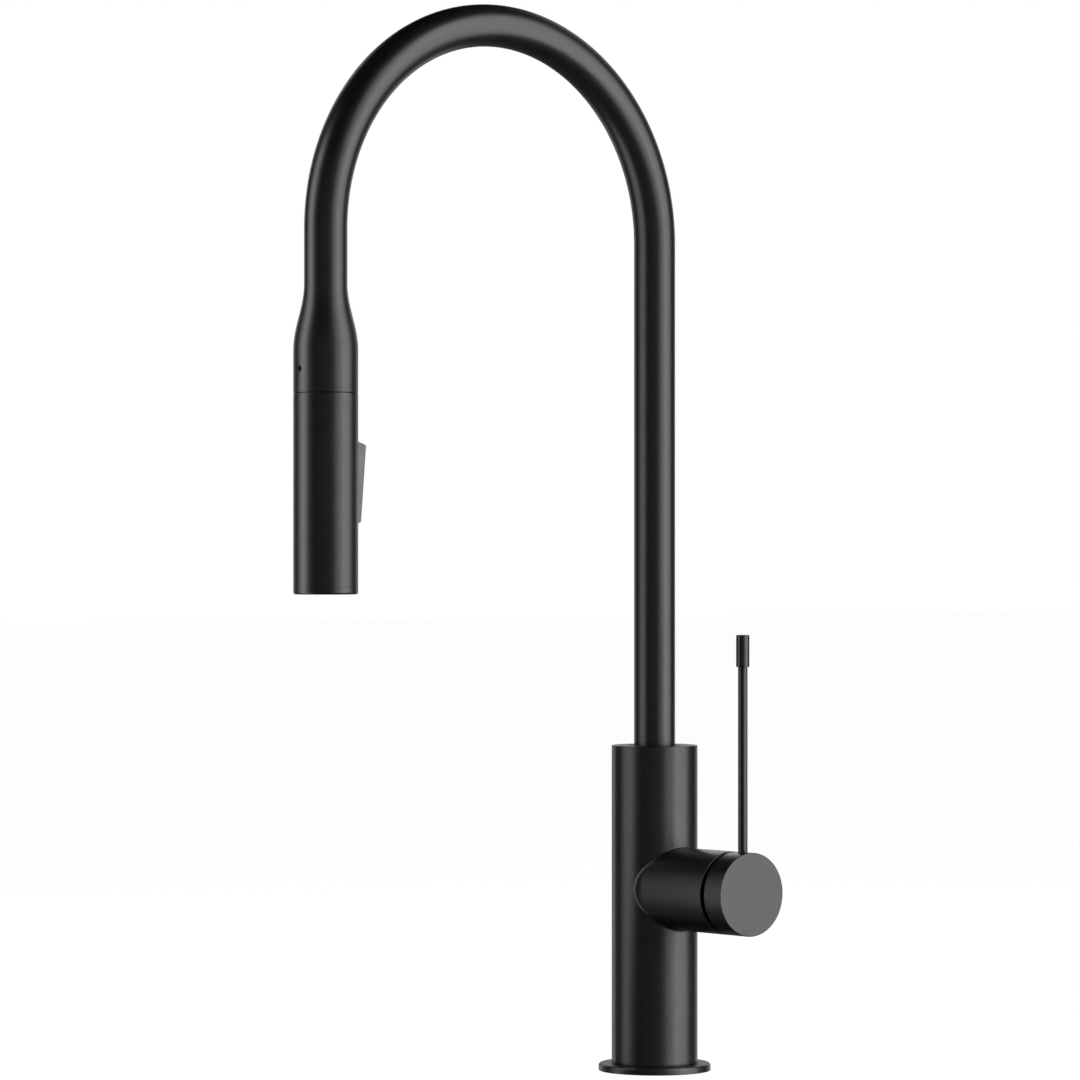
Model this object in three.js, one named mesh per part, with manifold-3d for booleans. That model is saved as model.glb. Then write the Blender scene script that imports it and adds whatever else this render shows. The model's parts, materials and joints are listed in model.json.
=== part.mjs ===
// Pull-down kitchen faucet: a tall gooseneck mixer with a side lever and a docked spray head.
// Millimetres, +Z up. z = 0 is the top of the worktop, the column stands on x = y = 0,
// the spout reaches towards -Y and the lever stands on the +X side.
import * as THREE from "three";
import { mergeVertices } from "three/addons/utils/BufferGeometryUtils.js";
import Module from "manifold-3d";

const wasm = await Module();
wasm.setup();

// ---- Driving dimensions ----
const GAP = 0.3; // clearance left between touching pieces
const BODY_RADIUS = 23;
const BODY_TOP = 174;
const FLANGE_RADIUS = 30;
const FLANGE_HEIGHT = 4;
const SHANK_RADIUS = 17;
const SHANK_BORE = 14.6;
const SHANK_BOTTOM = -62;
const WORKTOP = 30; // thickness of the worktop that the fixing is drawn up against
const TUBE_RADIUS = 11;
const TUBE_BORE = 9.8;
const ARCH_RADIUS = 110;
const SPRING_LINE = 442; // where the straight tube becomes the arch
const NECK_BOTTOM = 414; // where the tube starts to flare into the collar
const FLARE_BOTTOM = 380;
const HEAD_RADIUS = 16.5;
const SEAM = 358.6; // where the collar meets the spray head
const HEAD_BOTTOM = 256.2;
const HEAD_BORE = 15.2;
const BRANCH_HEIGHT = 98; // axis of the cartridge branch
const BRANCH_RADIUS = 22;
const BRANCH_END = 62;
const LEVER_PIVOT = 51; // distance of the stem's pin from the column's axis
const KNOB_REAR = 65;
const KNOB_FACE = 78;
const LEVER_ROD_RADIUS = 2.5;
const LEVER_ROD_AXIS = 71;
const LEVER_TOP = 234;
const LEVER_TIP_BOTTOM = 217.2;
const HOSE_RADIUS = 5.5;
const ROCKER_HEIGHT = 312.6; // height of the rocker button's pin
const ROCKER_DEPTH = 10.4; // distance of that pin from the head's axis
const ROCKER_WIDTH = 16;

// Facets around a turned piece
const FINE = 32;
const MEDIUM = 24;
const TUBE_SIDES = 20;
const COARSE = 16;
const SMALL = 10;

// Colour, roughness and metalness of each finish
const FINISHES = {
  black_coating: [0x1c1c1d, 0.45, 0.0],
  black_plastic: [0x141414, 0.6, 0.0],
  grey_button: [0x6a6b6d, 0.5, 0.0],
  brass: [0xb08d4a, 0.4, 1.0],
  steel: [0xa8a9ab, 0.35, 1.0],
  rubber: [0x232323, 0.85, 0.0],
  white_plastic: [0xd8d8d4, 0.55, 0.0],
  ceramic: [0xe6e2d8, 0.3, 0.0],
  hose_braid: [0x4a4b4e, 0.7, 0.0],
};

// ---- Helpers: turned shapes, boxes, and joining and cutting ----

// A closed [radius, z] profile turned about Z. It runs up the outside and down the inside.
function turned(profile, segments = MEDIUM) {
  const points = profile.map(([radius, z]) => new THREE.Vector2(radius, z));
  const touchesAxis = profile[0][0] === 0;
  if (!touchesAxis) points.push(points[0].clone());
  return new THREE.LatheGeometry(points, segments).rotateX(Math.PI / 2);
}

function cylinder(radius, bottom, top, segments = MEDIUM) {
  return turned([[0, bottom], [radius, bottom], [radius, top], [0, top]], segments);
}

function ring(inner, outer, bottom, top, segments = MEDIUM) {
  return turned([[inner, bottom], [outer, bottom], [outer, top], [inner, top]], segments);
}

// A box between two opposite corners
function block(low, high) {
  const size = high.map((value, axis) => value - low[axis]);
  const middle = high.map((value, axis) => (value + low[axis]) / 2);
  return new THREE.BoxGeometry(...size).translate(...middle);
}

function hexagon(radius, bottom, top) {
  return cylinder(radius, bottom, top, 6);
}

function solid(geometry) {
  const bare = geometry.clone().deleteAttribute("normal").deleteAttribute("uv");
  const merged = mergeVertices(bare);
  const corners = merged.index.array;
  const triangles = [];
  for (let i = 0; i < corners.length; i += 3) {
    const [a, b, c] = corners.slice(i, i + 3);
    if (a !== b && b !== c && c !== a) triangles.push(a, b, c);
  }
  return new wasm.Manifold(new wasm.Mesh({
    numProp: 3,
    vertProperties: new Float32Array(merged.attributes.position.array),
    triVerts: new Uint32Array(triangles),
  }));
}

function geometryOf(shape) {
  const mesh = shape.getMesh();
  const geometry = new THREE.BufferGeometry();
  geometry.setAttribute("position", new THREE.BufferAttribute(mesh.vertProperties, 3));
  geometry.setIndex(new THREE.BufferAttribute(mesh.triVerts, 1));
  return geometry;
}

function joined(first, ...others) {
  return geometryOf(others.reduce((shape, other) => shape.add(solid(other)), solid(first)));
}

function cut(from, ...tools) {
  return geometryOf(tools.reduce((shape, tool) => shape.subtract(solid(tool)), solid(from)));
}

function piece(name, finish, geometry) {
  const [color, roughness, metalness] = FINISHES[finish];
  const mesh = new THREE.Mesh(geometry, new THREE.MeshStandardMaterial({ color, roughness, metalness }));
  mesh.name = name;
  return mesh;
}

// The branch's own frame: x is world Y, y is world Z and z is world X, from the branch's axis
const BRANCH_TURN = new THREE.Quaternion().setFromAxisAngle(
  new THREE.Vector3(1, 1, 1).normalize(), (2 * Math.PI) / 3);

function onBranch(geometry) {
  return geometry.applyQuaternion(BRANCH_TURN).translate(0, 0, BRANCH_HEIGHT);
}

// A cylinder along Y, at one X and Z
function crossways(radius, x, z, from, to, segments = SMALL) {
  return cylinder(radius, -to, -from, segments).rotateX(Math.PI / 2).translate(x, 0, z);
}

// ---- Mixer body ----
const SOCKET_RADIUS = 14.3; // top socket that holds the spout's sleeve
const SOCKET_FLOOR = 130;
const HOLLOW_RADIUS = 19;
const HOLLOW_TOP = 70;
const NECK_RADIUS = 17.3; // thread for the shank
const NECK_TOP = 16;
const HOSE_BORE = 7.5;
const CHAMBER_RADIUS = 17.6;
const CHAMBER_FLOOR = 29.7;
const NUT_SEAT = 54;
const NUT_THREAD = 19.7;
const PORT_RADIUS = 2.8;
const STOP_SCREW_HEIGHT = 150;
// Each water way: where it rises beside the hose, and where it opens on the chamber's floor
const PORTS = {
  hot_inlet: { x: 6.6, y: 11.4, floorY: 8.5, floorZ: 3 },
  cold_inlet: { x: 6.6, y: -11.4, floorY: -8.5, floorZ: 3 },
  mixed_outlet: { x: 13.2, y: 0, floorY: 0, floorZ: -9 },
};
const NIPPLE_RADIUS = 3.7;
const NIPPLE_TOP = 77.5;
const NIPPLE_BOTTOM = 56;

function waterWay({ x, y, floorY, floorZ }) {
  const level = BRANCH_HEIGHT + floorZ;
  const riser = cylinder(PORT_RADIUS, HOLLOW_TOP - 1, level, SMALL).translate(x, y, 0);
  const socket = cylinder(NIPPLE_RADIUS + GAP, HOLLOW_TOP - 1, NIPPLE_TOP + GAP, SMALL).translate(x, y, 0);
  const feed = onBranch(cylinder(PORT_RADIUS, x, CHAMBER_FLOOR + 1, SMALL).translate(floorY, floorZ, 0));
  return [riser, socket, feed];
}

function mixerBody() {
  const edge = 0.6;
  const bottom = FLANGE_HEIGHT + 0.1;
  const column = turned([
    [0, bottom], [BODY_RADIUS, bottom], [BODY_RADIUS, BODY_TOP - edge],
    [BODY_RADIUS - edge, BODY_TOP], [0, BODY_TOP],
  ], FINE);
  const branch = onBranch(turned([
    [0, 0], [BRANCH_RADIUS, 0], [BRANCH_RADIUS, BRANCH_END - edge],
    [BRANCH_RADIUS - edge, BRANCH_END], [0, BRANCH_END],
  ], FINE));
  const cavities = [
    cylinder(SOCKET_RADIUS, SOCKET_FLOOR, BODY_TOP + 1),
    cylinder(HOSE_BORE, HOLLOW_TOP - 1, SOCKET_FLOOR + 1, COARSE),
    cylinder(HOLLOW_RADIUS, NECK_TOP, HOLLOW_TOP),
    cylinder(NECK_RADIUS, 0, NECK_TOP + 1),
    onBranch(cylinder(CHAMBER_RADIUS, CHAMBER_FLOOR, BRANCH_END + 1, FINE)),
    onBranch(cylinder(NUT_THREAD, NUT_SEAT, BRANCH_END + 1, FINE)),
    crossways(2.8, 0, STOP_SCREW_HEIGHT, SOCKET_RADIUS - 1, BODY_RADIUS + 1),
    ...Object.values(PORTS).flatMap(waterWay),
  ];
  return cut(joined(column, branch), ...cavities);
}

function nipple(name) {
  const { x, y } = PORTS[name];
  const hexBottom = 61;
  const hexTop = 68;
  const thread = ring(2, NIPPLE_RADIUS, NIPPLE_BOTTOM, NIPPLE_TOP, SMALL);
  const collar = cut(hexagon(4.9, hexBottom, hexTop), cylinder(3, hexBottom - 1, hexTop + 1, SMALL));
  const mesh = piece(name, "brass", joined(thread, collar));
  mesh.position.set(x, y, 0);
  return mesh;
}

// ---- Fixing to the worktop ----
const SEAL_INNER = 24;
const SEAL_OUTER = 27;
const SEAL_HEIGHT = 1.5;
const WASHER_RADIUS = 28;
const RUBBER_THICKNESS = 3;
const NUT_TOP = -38;
const NUT_BOTTOM = -50;
const JACK_SCREW_CIRCLE = 22;
const JACK_SCREW_RADIUS = 2.5;
const JACK_SCREWS = 3;

function baseFlange() {
  const rim = 1.2;
  const grooveTop = SEAL_HEIGHT + GAP;
  return turned([
    [NECK_RADIUS, 0], [SEAL_INNER - GAP, 0], [SEAL_INNER - GAP, grooveTop],
    [SEAL_OUTER + GAP, grooveTop], [SEAL_OUTER + GAP, 0], [FLANGE_RADIUS - 0.3, 0],
    [FLANGE_RADIUS, 0.3], [FLANGE_RADIUS, FLANGE_HEIGHT - rim],
    [FLANGE_RADIUS - rim, FLANGE_HEIGHT], [NECK_RADIUS, FLANGE_HEIGHT],
  ], FINE);
}

function screwAngle(index) {
  return (index * 2 * Math.PI) / JACK_SCREWS + Math.PI / 6;
}

function onScrewCircle(geometry, index) {
  const angle = screwAngle(index);
  return geometry.translate(JACK_SCREW_CIRCLE * Math.cos(angle), JACK_SCREW_CIRCLE * Math.sin(angle), 0);
}

function shankNut() {
  const holes = [];
  for (let index = 0; index < JACK_SCREWS; index += 1) {
    holes.push(onScrewCircle(cylinder(JACK_SCREW_RADIUS + GAP, NUT_BOTTOM - 1, NUT_TOP + 1, SMALL), index));
  }
  return cut(ring(NECK_RADIUS, 26, NUT_BOTTOM, NUT_TOP), ...holes);
}

function jackScrew() {
  const tip = -WORKTOP - RUBBER_THICKNESS - 3.1;
  const headTop = -56;
  return turned([
    [0, headTop - 3.5], [4.2, headTop - 3.5], [4.2, headTop],
    [JACK_SCREW_RADIUS, headTop], [JACK_SCREW_RADIUS, tip], [0, tip],
  ], SMALL);
}

function fixing() {
  const group = new THREE.Group();
  const rubberBottom = -WORKTOP - RUBBER_THICKNESS;
  group.add(
    piece("base_flange", "black_coating", baseFlange()),
    piece("base_seal", "rubber", ring(SEAL_INNER, SEAL_OUTER, 0, SEAL_HEIGHT)),
    piece("shank", "brass", ring(SHANK_BORE, SHANK_RADIUS, SHANK_BOTTOM, NECK_TOP - 2)),
    piece("deck_washer", "rubber", ring(NECK_RADIUS, WASHER_RADIUS, rubberBottom, -WORKTOP)),
    piece("clamp_washer", "steel", ring(NECK_RADIUS, WASHER_RADIUS, rubberBottom - 2.6, rubberBottom - 0.1)),
    piece("shank_nut", "brass", shankNut()),
  );
  for (let index = 0; index < JACK_SCREWS; index += 1) {
    group.add(piece(`jack_screw_${index + 1}`, "steel", onScrewCircle(jackScrew(), index)));
  }
  return group;
}

// ---- Cartridge, drawn in the branch's own frame ----
const STEM_HALF_WIDTH = 3.5;
const ROTOR_RADIUS = 15.2;
const ROTOR_NECK = 10;
const PIN_RADIUS = 1.5;
const DISC_RADIUS = 14.5;
const MOVING_DISC_RADIUS = 11.3;
const HOUSING_RADIUS = 17.3;

function ported(geometry, bottom, top) {
  const holes = Object.values(PORTS).map(({ floorY, floorZ }) =>
    cylinder(PORT_RADIUS, bottom - 1, top + 1, SMALL).translate(floorY, floorZ, 0));
  return cut(geometry, ...holes);
}

function portedDisc(radius, bottom, top) {
  return ported(cylinder(radius, bottom, top), bottom, top);
}

function cartridgeHousing() {
  const shoulder = 50;
  return turned([
    [15.6, 34.7], [HOUSING_RADIUS, 34.7], [HOUSING_RADIUS, shoulder],
    [12.8, shoulder], [12.8, 57.5], [ROTOR_NECK + 0.5, 57.5], [ROTOR_NECK + 0.5, 48.4], [15.6, 48.4],
  ]);
}

function cartridgeNut() {
  return turned([
    [15, 58], [NUT_THREAD - GAP, 58], [NUT_THREAD - GAP, NUT_SEAT + GAP], [HOUSING_RADIUS, NUT_SEAT + GAP],
    [HOUSING_RADIUS, 50.3], [13.3, 50.3], [13.3, 55.5], [15, 55.5],
  ].reverse());
}

// The rotor turns about the branch; two rails reach down beside the disc carrier
function cartridgeRotor() {
  const railBottom = 41;
  const plate = 45.2;
  const shoulder = 48.1;
  const top = 57;
  const slot = 6.5;
  const rotor = turned([
    [0, railBottom], [ROTOR_RADIUS, railBottom], [ROTOR_RADIUS, shoulder],
    [ROTOR_NECK, shoulder], [ROTOR_NECK, top], [0, top],
  ]);
  return cut(rotor,
    block([-12, -20, railBottom - 1], [12, 20, plate]),
    block([-20, -20, railBottom - 1], [20, -7, plate]),
    block([-20, 7, railBottom - 1], [20, 20, plate]),
    block([-STEM_HALF_WIDTH - GAP, -slot, railBottom], [STEM_HALF_WIDTH + GAP, slot, top + 1]),
    cylinder(PIN_RADIUS + GAP, -ROTOR_NECK - 1, ROTOR_NECK + 1, SMALL)
      .rotateY(Math.PI / 2).translate(0, 0, LEVER_PIVOT));
}

function stemPin() {
  return cylinder(PIN_RADIUS, -9.6, 9.6, SMALL).rotateY(Math.PI / 2).translate(0, 0, LEVER_PIVOT);
}

// The carrier holds the moving disc and takes the stem's tip in a pocket
function discCarrier() {
  const bottom = 41;
  const top = 44.8;
  const pocket = 3;
  return cut(cylinder(MOVING_DISC_RADIUS, bottom, top, COARSE),
    block([-pocket, -pocket, bottom + 1.3], [pocket, pocket, top + 1]));
}

// The moving disc's underside has a hollow that joins the inlets to the outlet
function movingDisc() {
  const bottom = 37.9;
  const top = 40.8;
  return cut(cylinder(MOVING_DISC_RADIUS, bottom, top, COARSE),
    block([-8.2, -7.5, bottom - 1], [8.2, 1.5, bottom + 1.6]));
}

// A square bar on the pin: its rounded tip moves the carrier, its outer end holds the knob
function cartridgeStem() {
  const foot = 46.2;
  const end = 73.5;
  const tip = cylinder(2.2, 43.4, foot + 1, SMALL);
  const bar = block([-STEM_HALF_WIDTH, -STEM_HALF_WIDTH, foot], [STEM_HALF_WIDTH, STEM_HALF_WIDTH, end]);
  const eye = cylinder(PIN_RADIUS + GAP, -5, 5, SMALL).rotateY(Math.PI / 2).translate(0, 0, LEVER_PIVOT);
  return cut(joined(bar, tip), eye);
}

function cartridge() {
  const group = new THREE.Group();
  group.position.set(0, 0, BRANCH_HEIGHT);
  group.quaternion.copy(BRANCH_TURN);
  group.add(
    piece("cartridge_base_seal", "rubber", portedDisc(14, 30, 31.1)),
    piece("cartridge_base", "white_plastic", portedDisc(HOUSING_RADIUS, 31.4, 34.4)),
    piece("ceramic_disc_fixed", "ceramic", portedDisc(DISC_RADIUS, 34.7, 37.6)),
    piece("ceramic_disc_moving", "ceramic", movingDisc()),
    piece("disc_carrier", "white_plastic", discCarrier()),
    piece("cartridge_rotor", "white_plastic", cartridgeRotor()),
    piece("stem_pin", "steel", stemPin()),
    piece("cartridge_housing", "white_plastic", cartridgeHousing()),
    piece("cartridge_nut", "brass", cartridgeNut()),
    piece("trim_ring", "black_coating", ring(15, 19, 58.3, 64.5)),
    piece("cartridge_stem", "brass", cartridgeStem()),
  );
  return group;
}

// ---- Lever, drawn in the branch's own frame ----
const HUB_RADIUS = 7.5;
const KNOB_WALL = 1.2;
const KNOB_CAVITY = 76; // how far out the cup's hollow runs

// A cup whose rim turns round the branch's end, with a square-socketed hub in the middle
function leverKnob() {
  const hubRear = 64;
  const edge = 0.5;
  const inner = BRANCH_RADIUS - KNOB_WALL;
  const socket = STEM_HALF_WIDTH + GAP;
  const cup = turned([
    [0, hubRear], [HUB_RADIUS, hubRear], [HUB_RADIUS, KNOB_CAVITY], [inner, KNOB_CAVITY],
    [inner, KNOB_REAR], [BRANCH_RADIUS, KNOB_REAR], [BRANCH_RADIUS, KNOB_FACE - edge],
    [BRANCH_RADIUS - edge, KNOB_FACE], [0, KNOB_FACE],
  ], FINE);
  return cut(cup,
    block([-socket, -socket, hubRear - 1], [socket, socket, 74]),
    radial(LEVER_ROD_RADIUS + GAP, 5, BRANCH_RADIUS + 1),
    radial(2.2, -BRANCH_RADIUS - 1, -2));
}

// A cylinder across the knob, along the lever, between two heights from the branch's axis
function radial(radius, from, to) {
  return crossways(radius, 0, 0, from, to).translate(0, 0, LEVER_ROD_AXIS);
}

function lever() {
  const group = new THREE.Group();
  group.position.set(0, 0, BRANCH_HEIGHT);
  group.quaternion.copy(BRANCH_TURN);
  const rodTop = LEVER_TOP - BRANCH_HEIGHT - 4;
  const tipBottom = LEVER_TIP_BOTTOM - BRANCH_HEIGHT;
  const tipTop = LEVER_TOP - BRANCH_HEIGHT;
  const edge = 0.4;
  const cap = turned([
    [0, tipBottom], [3.5, tipBottom], [3.5, tipTop - edge], [3.5 - edge, tipTop], [0, tipTop],
  ], COARSE);
  const tip = cut(cap, cylinder(LEVER_ROD_RADIUS + GAP, tipBottom - 1, rodTop + GAP, SMALL));
  group.add(
    piece("lever_knob", "black_coating", leverKnob()),
    piece("knob_grub_screw", "steel", radial(1.9, -HUB_RADIUS + 0.6, -STEM_HALF_WIDTH - GAP)),
    piece("lever_rod", "black_coating", radial(LEVER_ROD_RADIUS, 5.4, rodTop)),
    piece("lever_tip", "black_coating", tip.rotateX(-Math.PI / 2).translate(0, 0, LEVER_ROD_AXIS)),
  );
  return group;
}

// ---- Spout ----
const SLEEVE_RADIUS = 14;
const SLEEVE_BOTTOM = 134;
const SLEEVE_TOP = 166;
const COLLAR_BORE = 14.9;
const ARCH_STEPS = 20;
const HOSE_STEPS = 16;

// Up the column, round the half-circle arch and down the neck. The sweep takes one step
// along each straight and equal steps round the arch.
class SpoutPath extends THREE.Curve {
  constructor(foot, end, archSteps) {
    super();
    this.foot = foot;
    this.end = end;
    this.archSteps = archSteps;
    this.steps = archSteps + 2;
  }

  getPoint(t, target = new THREE.Vector3()) {
    const step = t * this.steps;
    if (step <= 1) {
      return target.set(0, 0, THREE.MathUtils.lerp(this.foot, SPRING_LINE, step));
    }
    if (step >= this.archSteps + 1) {
      const fall = step - this.archSteps - 1;
      return target.set(0, -2 * ARCH_RADIUS, THREE.MathUtils.lerp(SPRING_LINE, this.end, fall));
    }
    const angle = (Math.PI * (step - 1)) / this.archSteps;
    return target.set(0, ARCH_RADIUS * (Math.cos(angle) - 1), SPRING_LINE + ARCH_RADIUS * Math.sin(angle));
  }

  getUtoTmapping(u) {
    return u;
  }
}

function circle(radius, sides) {
  const points = [];
  for (let side = 0; side < sides; side += 1) {
    const angle = (2 * Math.PI * side) / sides;
    points.push(new THREE.Vector2(radius * Math.cos(angle), radius * Math.sin(angle)));
  }
  return points;
}

function swept(outer, bore, sides, path) {
  const section = new THREE.Shape(circle(outer, sides));
  if (bore > 0) section.holes.push(new THREE.Path(circle(bore, sides)));
  return new THREE.ExtrudeGeometry(section, { steps: path.steps, extrudePath: path });
}

// The collar's outside swells from the tube to the head's radius along a smooth S
function flareProfile(steps) {
  const points = [];
  for (let step = 0; step <= steps; step += 1) {
    const share = step / steps;
    const swell = (1 + Math.cos(Math.PI * share)) / 2;
    const radius = TUBE_RADIUS + (HEAD_RADIUS - TUBE_RADIUS) * swell;
    points.push([radius, FLARE_BOTTOM + (NECK_BOTTOM - FLARE_BOTTOM) * share]);
  }
  return points;
}

function collar() {
  const rootTop = NECK_BOTTOM + 3;
  const neckBoreBottom = 398;
  const dockTop = 384;
  return turned([
    [COLLAR_BORE, SEAM], [HEAD_RADIUS, SEAM], ...flareProfile(8),
    [TUBE_RADIUS - 0.2, rootTop], [TUBE_BORE + 0.2, rootTop], [TUBE_BORE + 0.2, neckBoreBottom],
    [COLLAR_BORE, dockTop],
  ]).translate(0, -2 * ARCH_RADIUS, 0);
}

function spoutTube() {
  const path = new SpoutPath(SLEEVE_BOTTOM + 0.5, NECK_BOTTOM, ARCH_STEPS);
  const tube = swept(TUBE_RADIUS, TUBE_BORE, TUBE_SIDES, path);
  const screwHole = crossways(DOCK_SCREW_RADIUS + GAP, 0, DOCK_SCREW_HEIGHT,
    -2 * ARCH_RADIUS - HEAD_RADIUS - 1, -2 * ARCH_RADIUS - COLLAR_BORE + 1);
  return cut(joined(tube, collar()), screwHole);
}

// Brazed to the tube's foot; the stop screw's tip runs in its groove
function spoutSleeve() {
  const grooveRadius = 12.7;
  const half = 3.2;
  return turned([
    [TUBE_RADIUS + GAP, SLEEVE_BOTTOM], [SLEEVE_RADIUS, SLEEVE_BOTTOM],
    [SLEEVE_RADIUS, STOP_SCREW_HEIGHT - half], [grooveRadius, STOP_SCREW_HEIGHT - half],
    [grooveRadius, STOP_SCREW_HEIGHT + half], [SLEEVE_RADIUS, STOP_SCREW_HEIGHT + half],
    [SLEEVE_RADIUS, SLEEVE_TOP], [TUBE_RADIUS + GAP, SLEEVE_TOP],
  ]);
}

// ---- Dock and hose ----
const DOCK_SCREW_HEIGHT = 370.5;
const DOCK_SCREW_RADIUS = 1.5;
const DOCK_BUSH_BORE = 11.9;
const DOCK_BUSH_BOTTOM = 361;
const MAGNET_BOTTOM = 377.2;
const MAGNET_TOP = 381;
const SPIGOT_RADIUS = 11.5;
const SPIGOT_TOP = 374.6;
const INLET_RADIUS = 5.5;
const INLET_TOP = 386;
const HOSE_BOTTOM = -88;

function spout() {
  const group = new THREE.Group();
  const hosePath = new SpoutPath(SOCKET_FLOOR, SPRING_LINE, HOSE_STEPS);
  hosePath.steps = HOSE_STEPS + 1;
  group.add(
    piece("spout_tube", "black_coating", spoutTube()),
    piece("spout_sleeve", "brass", spoutSleeve()),
    piece("hose_arch", "hose_braid", swept(HOSE_RADIUS, 0, SMALL, hosePath)),
  );
  const dock = new THREE.Group();
  dock.position.set(0, -2 * ARCH_RADIUS, 0);
  const bush = cut(ring(DOCK_BUSH_BORE, COLLAR_BORE - GAP, DOCK_BUSH_BOTTOM, MAGNET_BOTTOM - GAP),
    crossways(DOCK_SCREW_RADIUS + GAP, 0, DOCK_SCREW_HEIGHT, -HEAD_RADIUS, -DOCK_BUSH_BORE - 0.6));
  dock.add(
    piece("dock_bush", "black_plastic", bush),
    piece("dock_magnet", "steel", ring(8.6, 14.4, MAGNET_BOTTOM, MAGNET_TOP)),
    piece("collar_grub_screw", "steel",
      crossways(DOCK_SCREW_RADIUS, 0, DOCK_SCREW_HEIGHT, -HEAD_RADIUS + 0.3, -DOCK_BUSH_BORE - 0.9)),
  );
  group.add(dock);
  return group;
}

function hoseInColumn() {
  const group = new THREE.Group();
  const connectorTop = HOSE_BOTTOM + 20;
  const seat = connectorTop - 7;
  group.add(
    piece("hose_riser", "hose_braid", cylinder(HOSE_RADIUS, seat + 1, SOCKET_FLOOR - GAP, SMALL)),
    piece("hose_connector", "brass", turned([
      [3, HOSE_BOTTOM], [7, HOSE_BOTTOM], [8, HOSE_BOTTOM + 1], [8, HOSE_BOTTOM + 10],
      [6.8, HOSE_BOTTOM + 10], [6.8, connectorTop], [HOSE_RADIUS + 0.4, connectorTop],
      [HOSE_RADIUS + 0.4, seat], [3, seat],
    ], COARSE)),
  );
  return group;
}

// The hose's moving end: its crimped ferrule carries the nut that screws on to the head's inlet
function hoseEnd() {
  const group = new THREE.Group();
  group.position.set(0, -2 * ARCH_RADIUS, 0);
  const nutTop = 394;
  const ferruleTop = 412;
  const hoseEndHeight = 398;
  const nut = turned([
    [INLET_RADIUS + 0.4, MAGNET_BOTTOM], [7.6, MAGNET_BOTTOM], [7.6, nutTop - 2], [6.6, nutTop],
    [4.6, nutTop], [4.6, nutTop - 3], [INLET_RADIUS + 0.4, nutTop - 3],
  ], COARSE);
  const ferrule = turned([
    [2.6, INLET_TOP + 2], [5.2, INLET_TOP + 2], [5.2, nutTop - 3.3], [4.2, nutTop - 3.3],
    [4.2, nutTop + 0.4], [6.9, nutTop + 0.4], [6.9, ferruleTop], [HOSE_RADIUS + 0.4, ferruleTop],
    [HOSE_RADIUS + 0.4, hoseEndHeight - GAP], [2.6, hoseEndHeight - GAP],
  ], COARSE);
  group.add(
    piece("hose_drop", "hose_braid", cylinder(HOSE_RADIUS, hoseEndHeight, SPRING_LINE - GAP, SMALL)),
    piece("hose_ferrule", "steel", ferrule),
    piece("swivel_nut", "brass", nut),
    piece("hose_seal", "rubber", ring(2.6, 5.2, INLET_TOP + GAP, INLET_TOP + 1.7, COARSE)),
  );
  return group;
}

// ---- Spray head, drawn about the head's own axis ----
const HEAD_TOP = SEAM - GAP;
const BEZEL_TOP = 260;
const TOP_PLATE_BOTTOM = 351;
const INLET_BORE = 3.5;
const PLATE_RADIUS = 13.4;
const AERATOR_RADIUS = 5.2;
const CORE_RADIUS = 14.6;
const CORE_BOTTOM = 270;
const CORE_TOP = 348;
const SPOOL_AXIS = 2.5;
const SPOOL_RADIUS = 3;
const SPOOL_NECK = 0.9;
const POCKET_FLOOR = 8;
const POCKET_HALF_HEIGHT = 22.4;
// The button's ends follow arcs about its pin, and the shell's window clears both
const ROCKER_TOP_ARC = 21.6;
const ROCKER_BOTTOM_ARC = 20.7;
const JET_RINGS = [[6, 7.8], [10, 11.2]]; // [count, radius of the ring]
const JET_SIDES = 6;

function onJets(makeJet) {
  return JET_RINGS.flatMap(([count, radius]) => {
    const jets = [];
    for (let index = 0; index < count; index += 1) {
      const angle = (2 * Math.PI * index) / count;
      jets.push(makeJet().translate(radius * Math.cos(angle), radius * Math.sin(angle), 0));
    }
    return jets;
  });
}

function headShell() {
  const half = ROCKER_WIDTH / 2 + GAP;
  const windowBottom = ROCKER_HEIGHT - ROCKER_BOTTOM_ARC - GAP;
  const windowTop = ROCKER_HEIGHT + ROCKER_TOP_ARC + GAP;
  return cut(ring(HEAD_BORE, HEAD_RADIUS, BEZEL_TOP + 0.1, HEAD_TOP, FINE),
    block([-half, 5, windowBottom], [half, 20, windowTop]));
}

// The chamfered lower edge, which holds the nozzle plate
function faceBezel() {
  return turned([
    [PLATE_RADIUS + GAP, HEAD_BOTTOM], [HEAD_RADIUS - 1, HEAD_BOTTOM], [HEAD_RADIUS, HEAD_BOTTOM + 1],
    [HEAD_RADIUS, BEZEL_TOP], [HEAD_BORE - GAP, BEZEL_TOP], [HEAD_BORE - GAP, BEZEL_TOP + 3],
    [PLATE_RADIUS + GAP, BEZEL_TOP + 3],
  ], FINE);
}

function headTop() {
  return turned([
    [INLET_RADIUS + GAP, TOP_PLATE_BOTTOM], [HEAD_BORE - GAP, TOP_PLATE_BOTTOM], [HEAD_BORE - GAP, HEAD_TOP],
    [SPIGOT_RADIUS, HEAD_TOP], [SPIGOT_RADIUS, SPIGOT_TOP], [INLET_RADIUS + GAP, SPIGOT_TOP],
  ]);
}

function headInlet() {
  const collarTop = TOP_PLATE_BOTTOM - GAP;
  return turned([
    [INLET_BORE, CORE_TOP + GAP], [9, CORE_TOP + GAP], [9, collarTop], [INLET_RADIUS, collarTop],
    [INLET_RADIUS, INLET_TOP], [INLET_BORE, INLET_TOP],
  ], COARSE);
}

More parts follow.
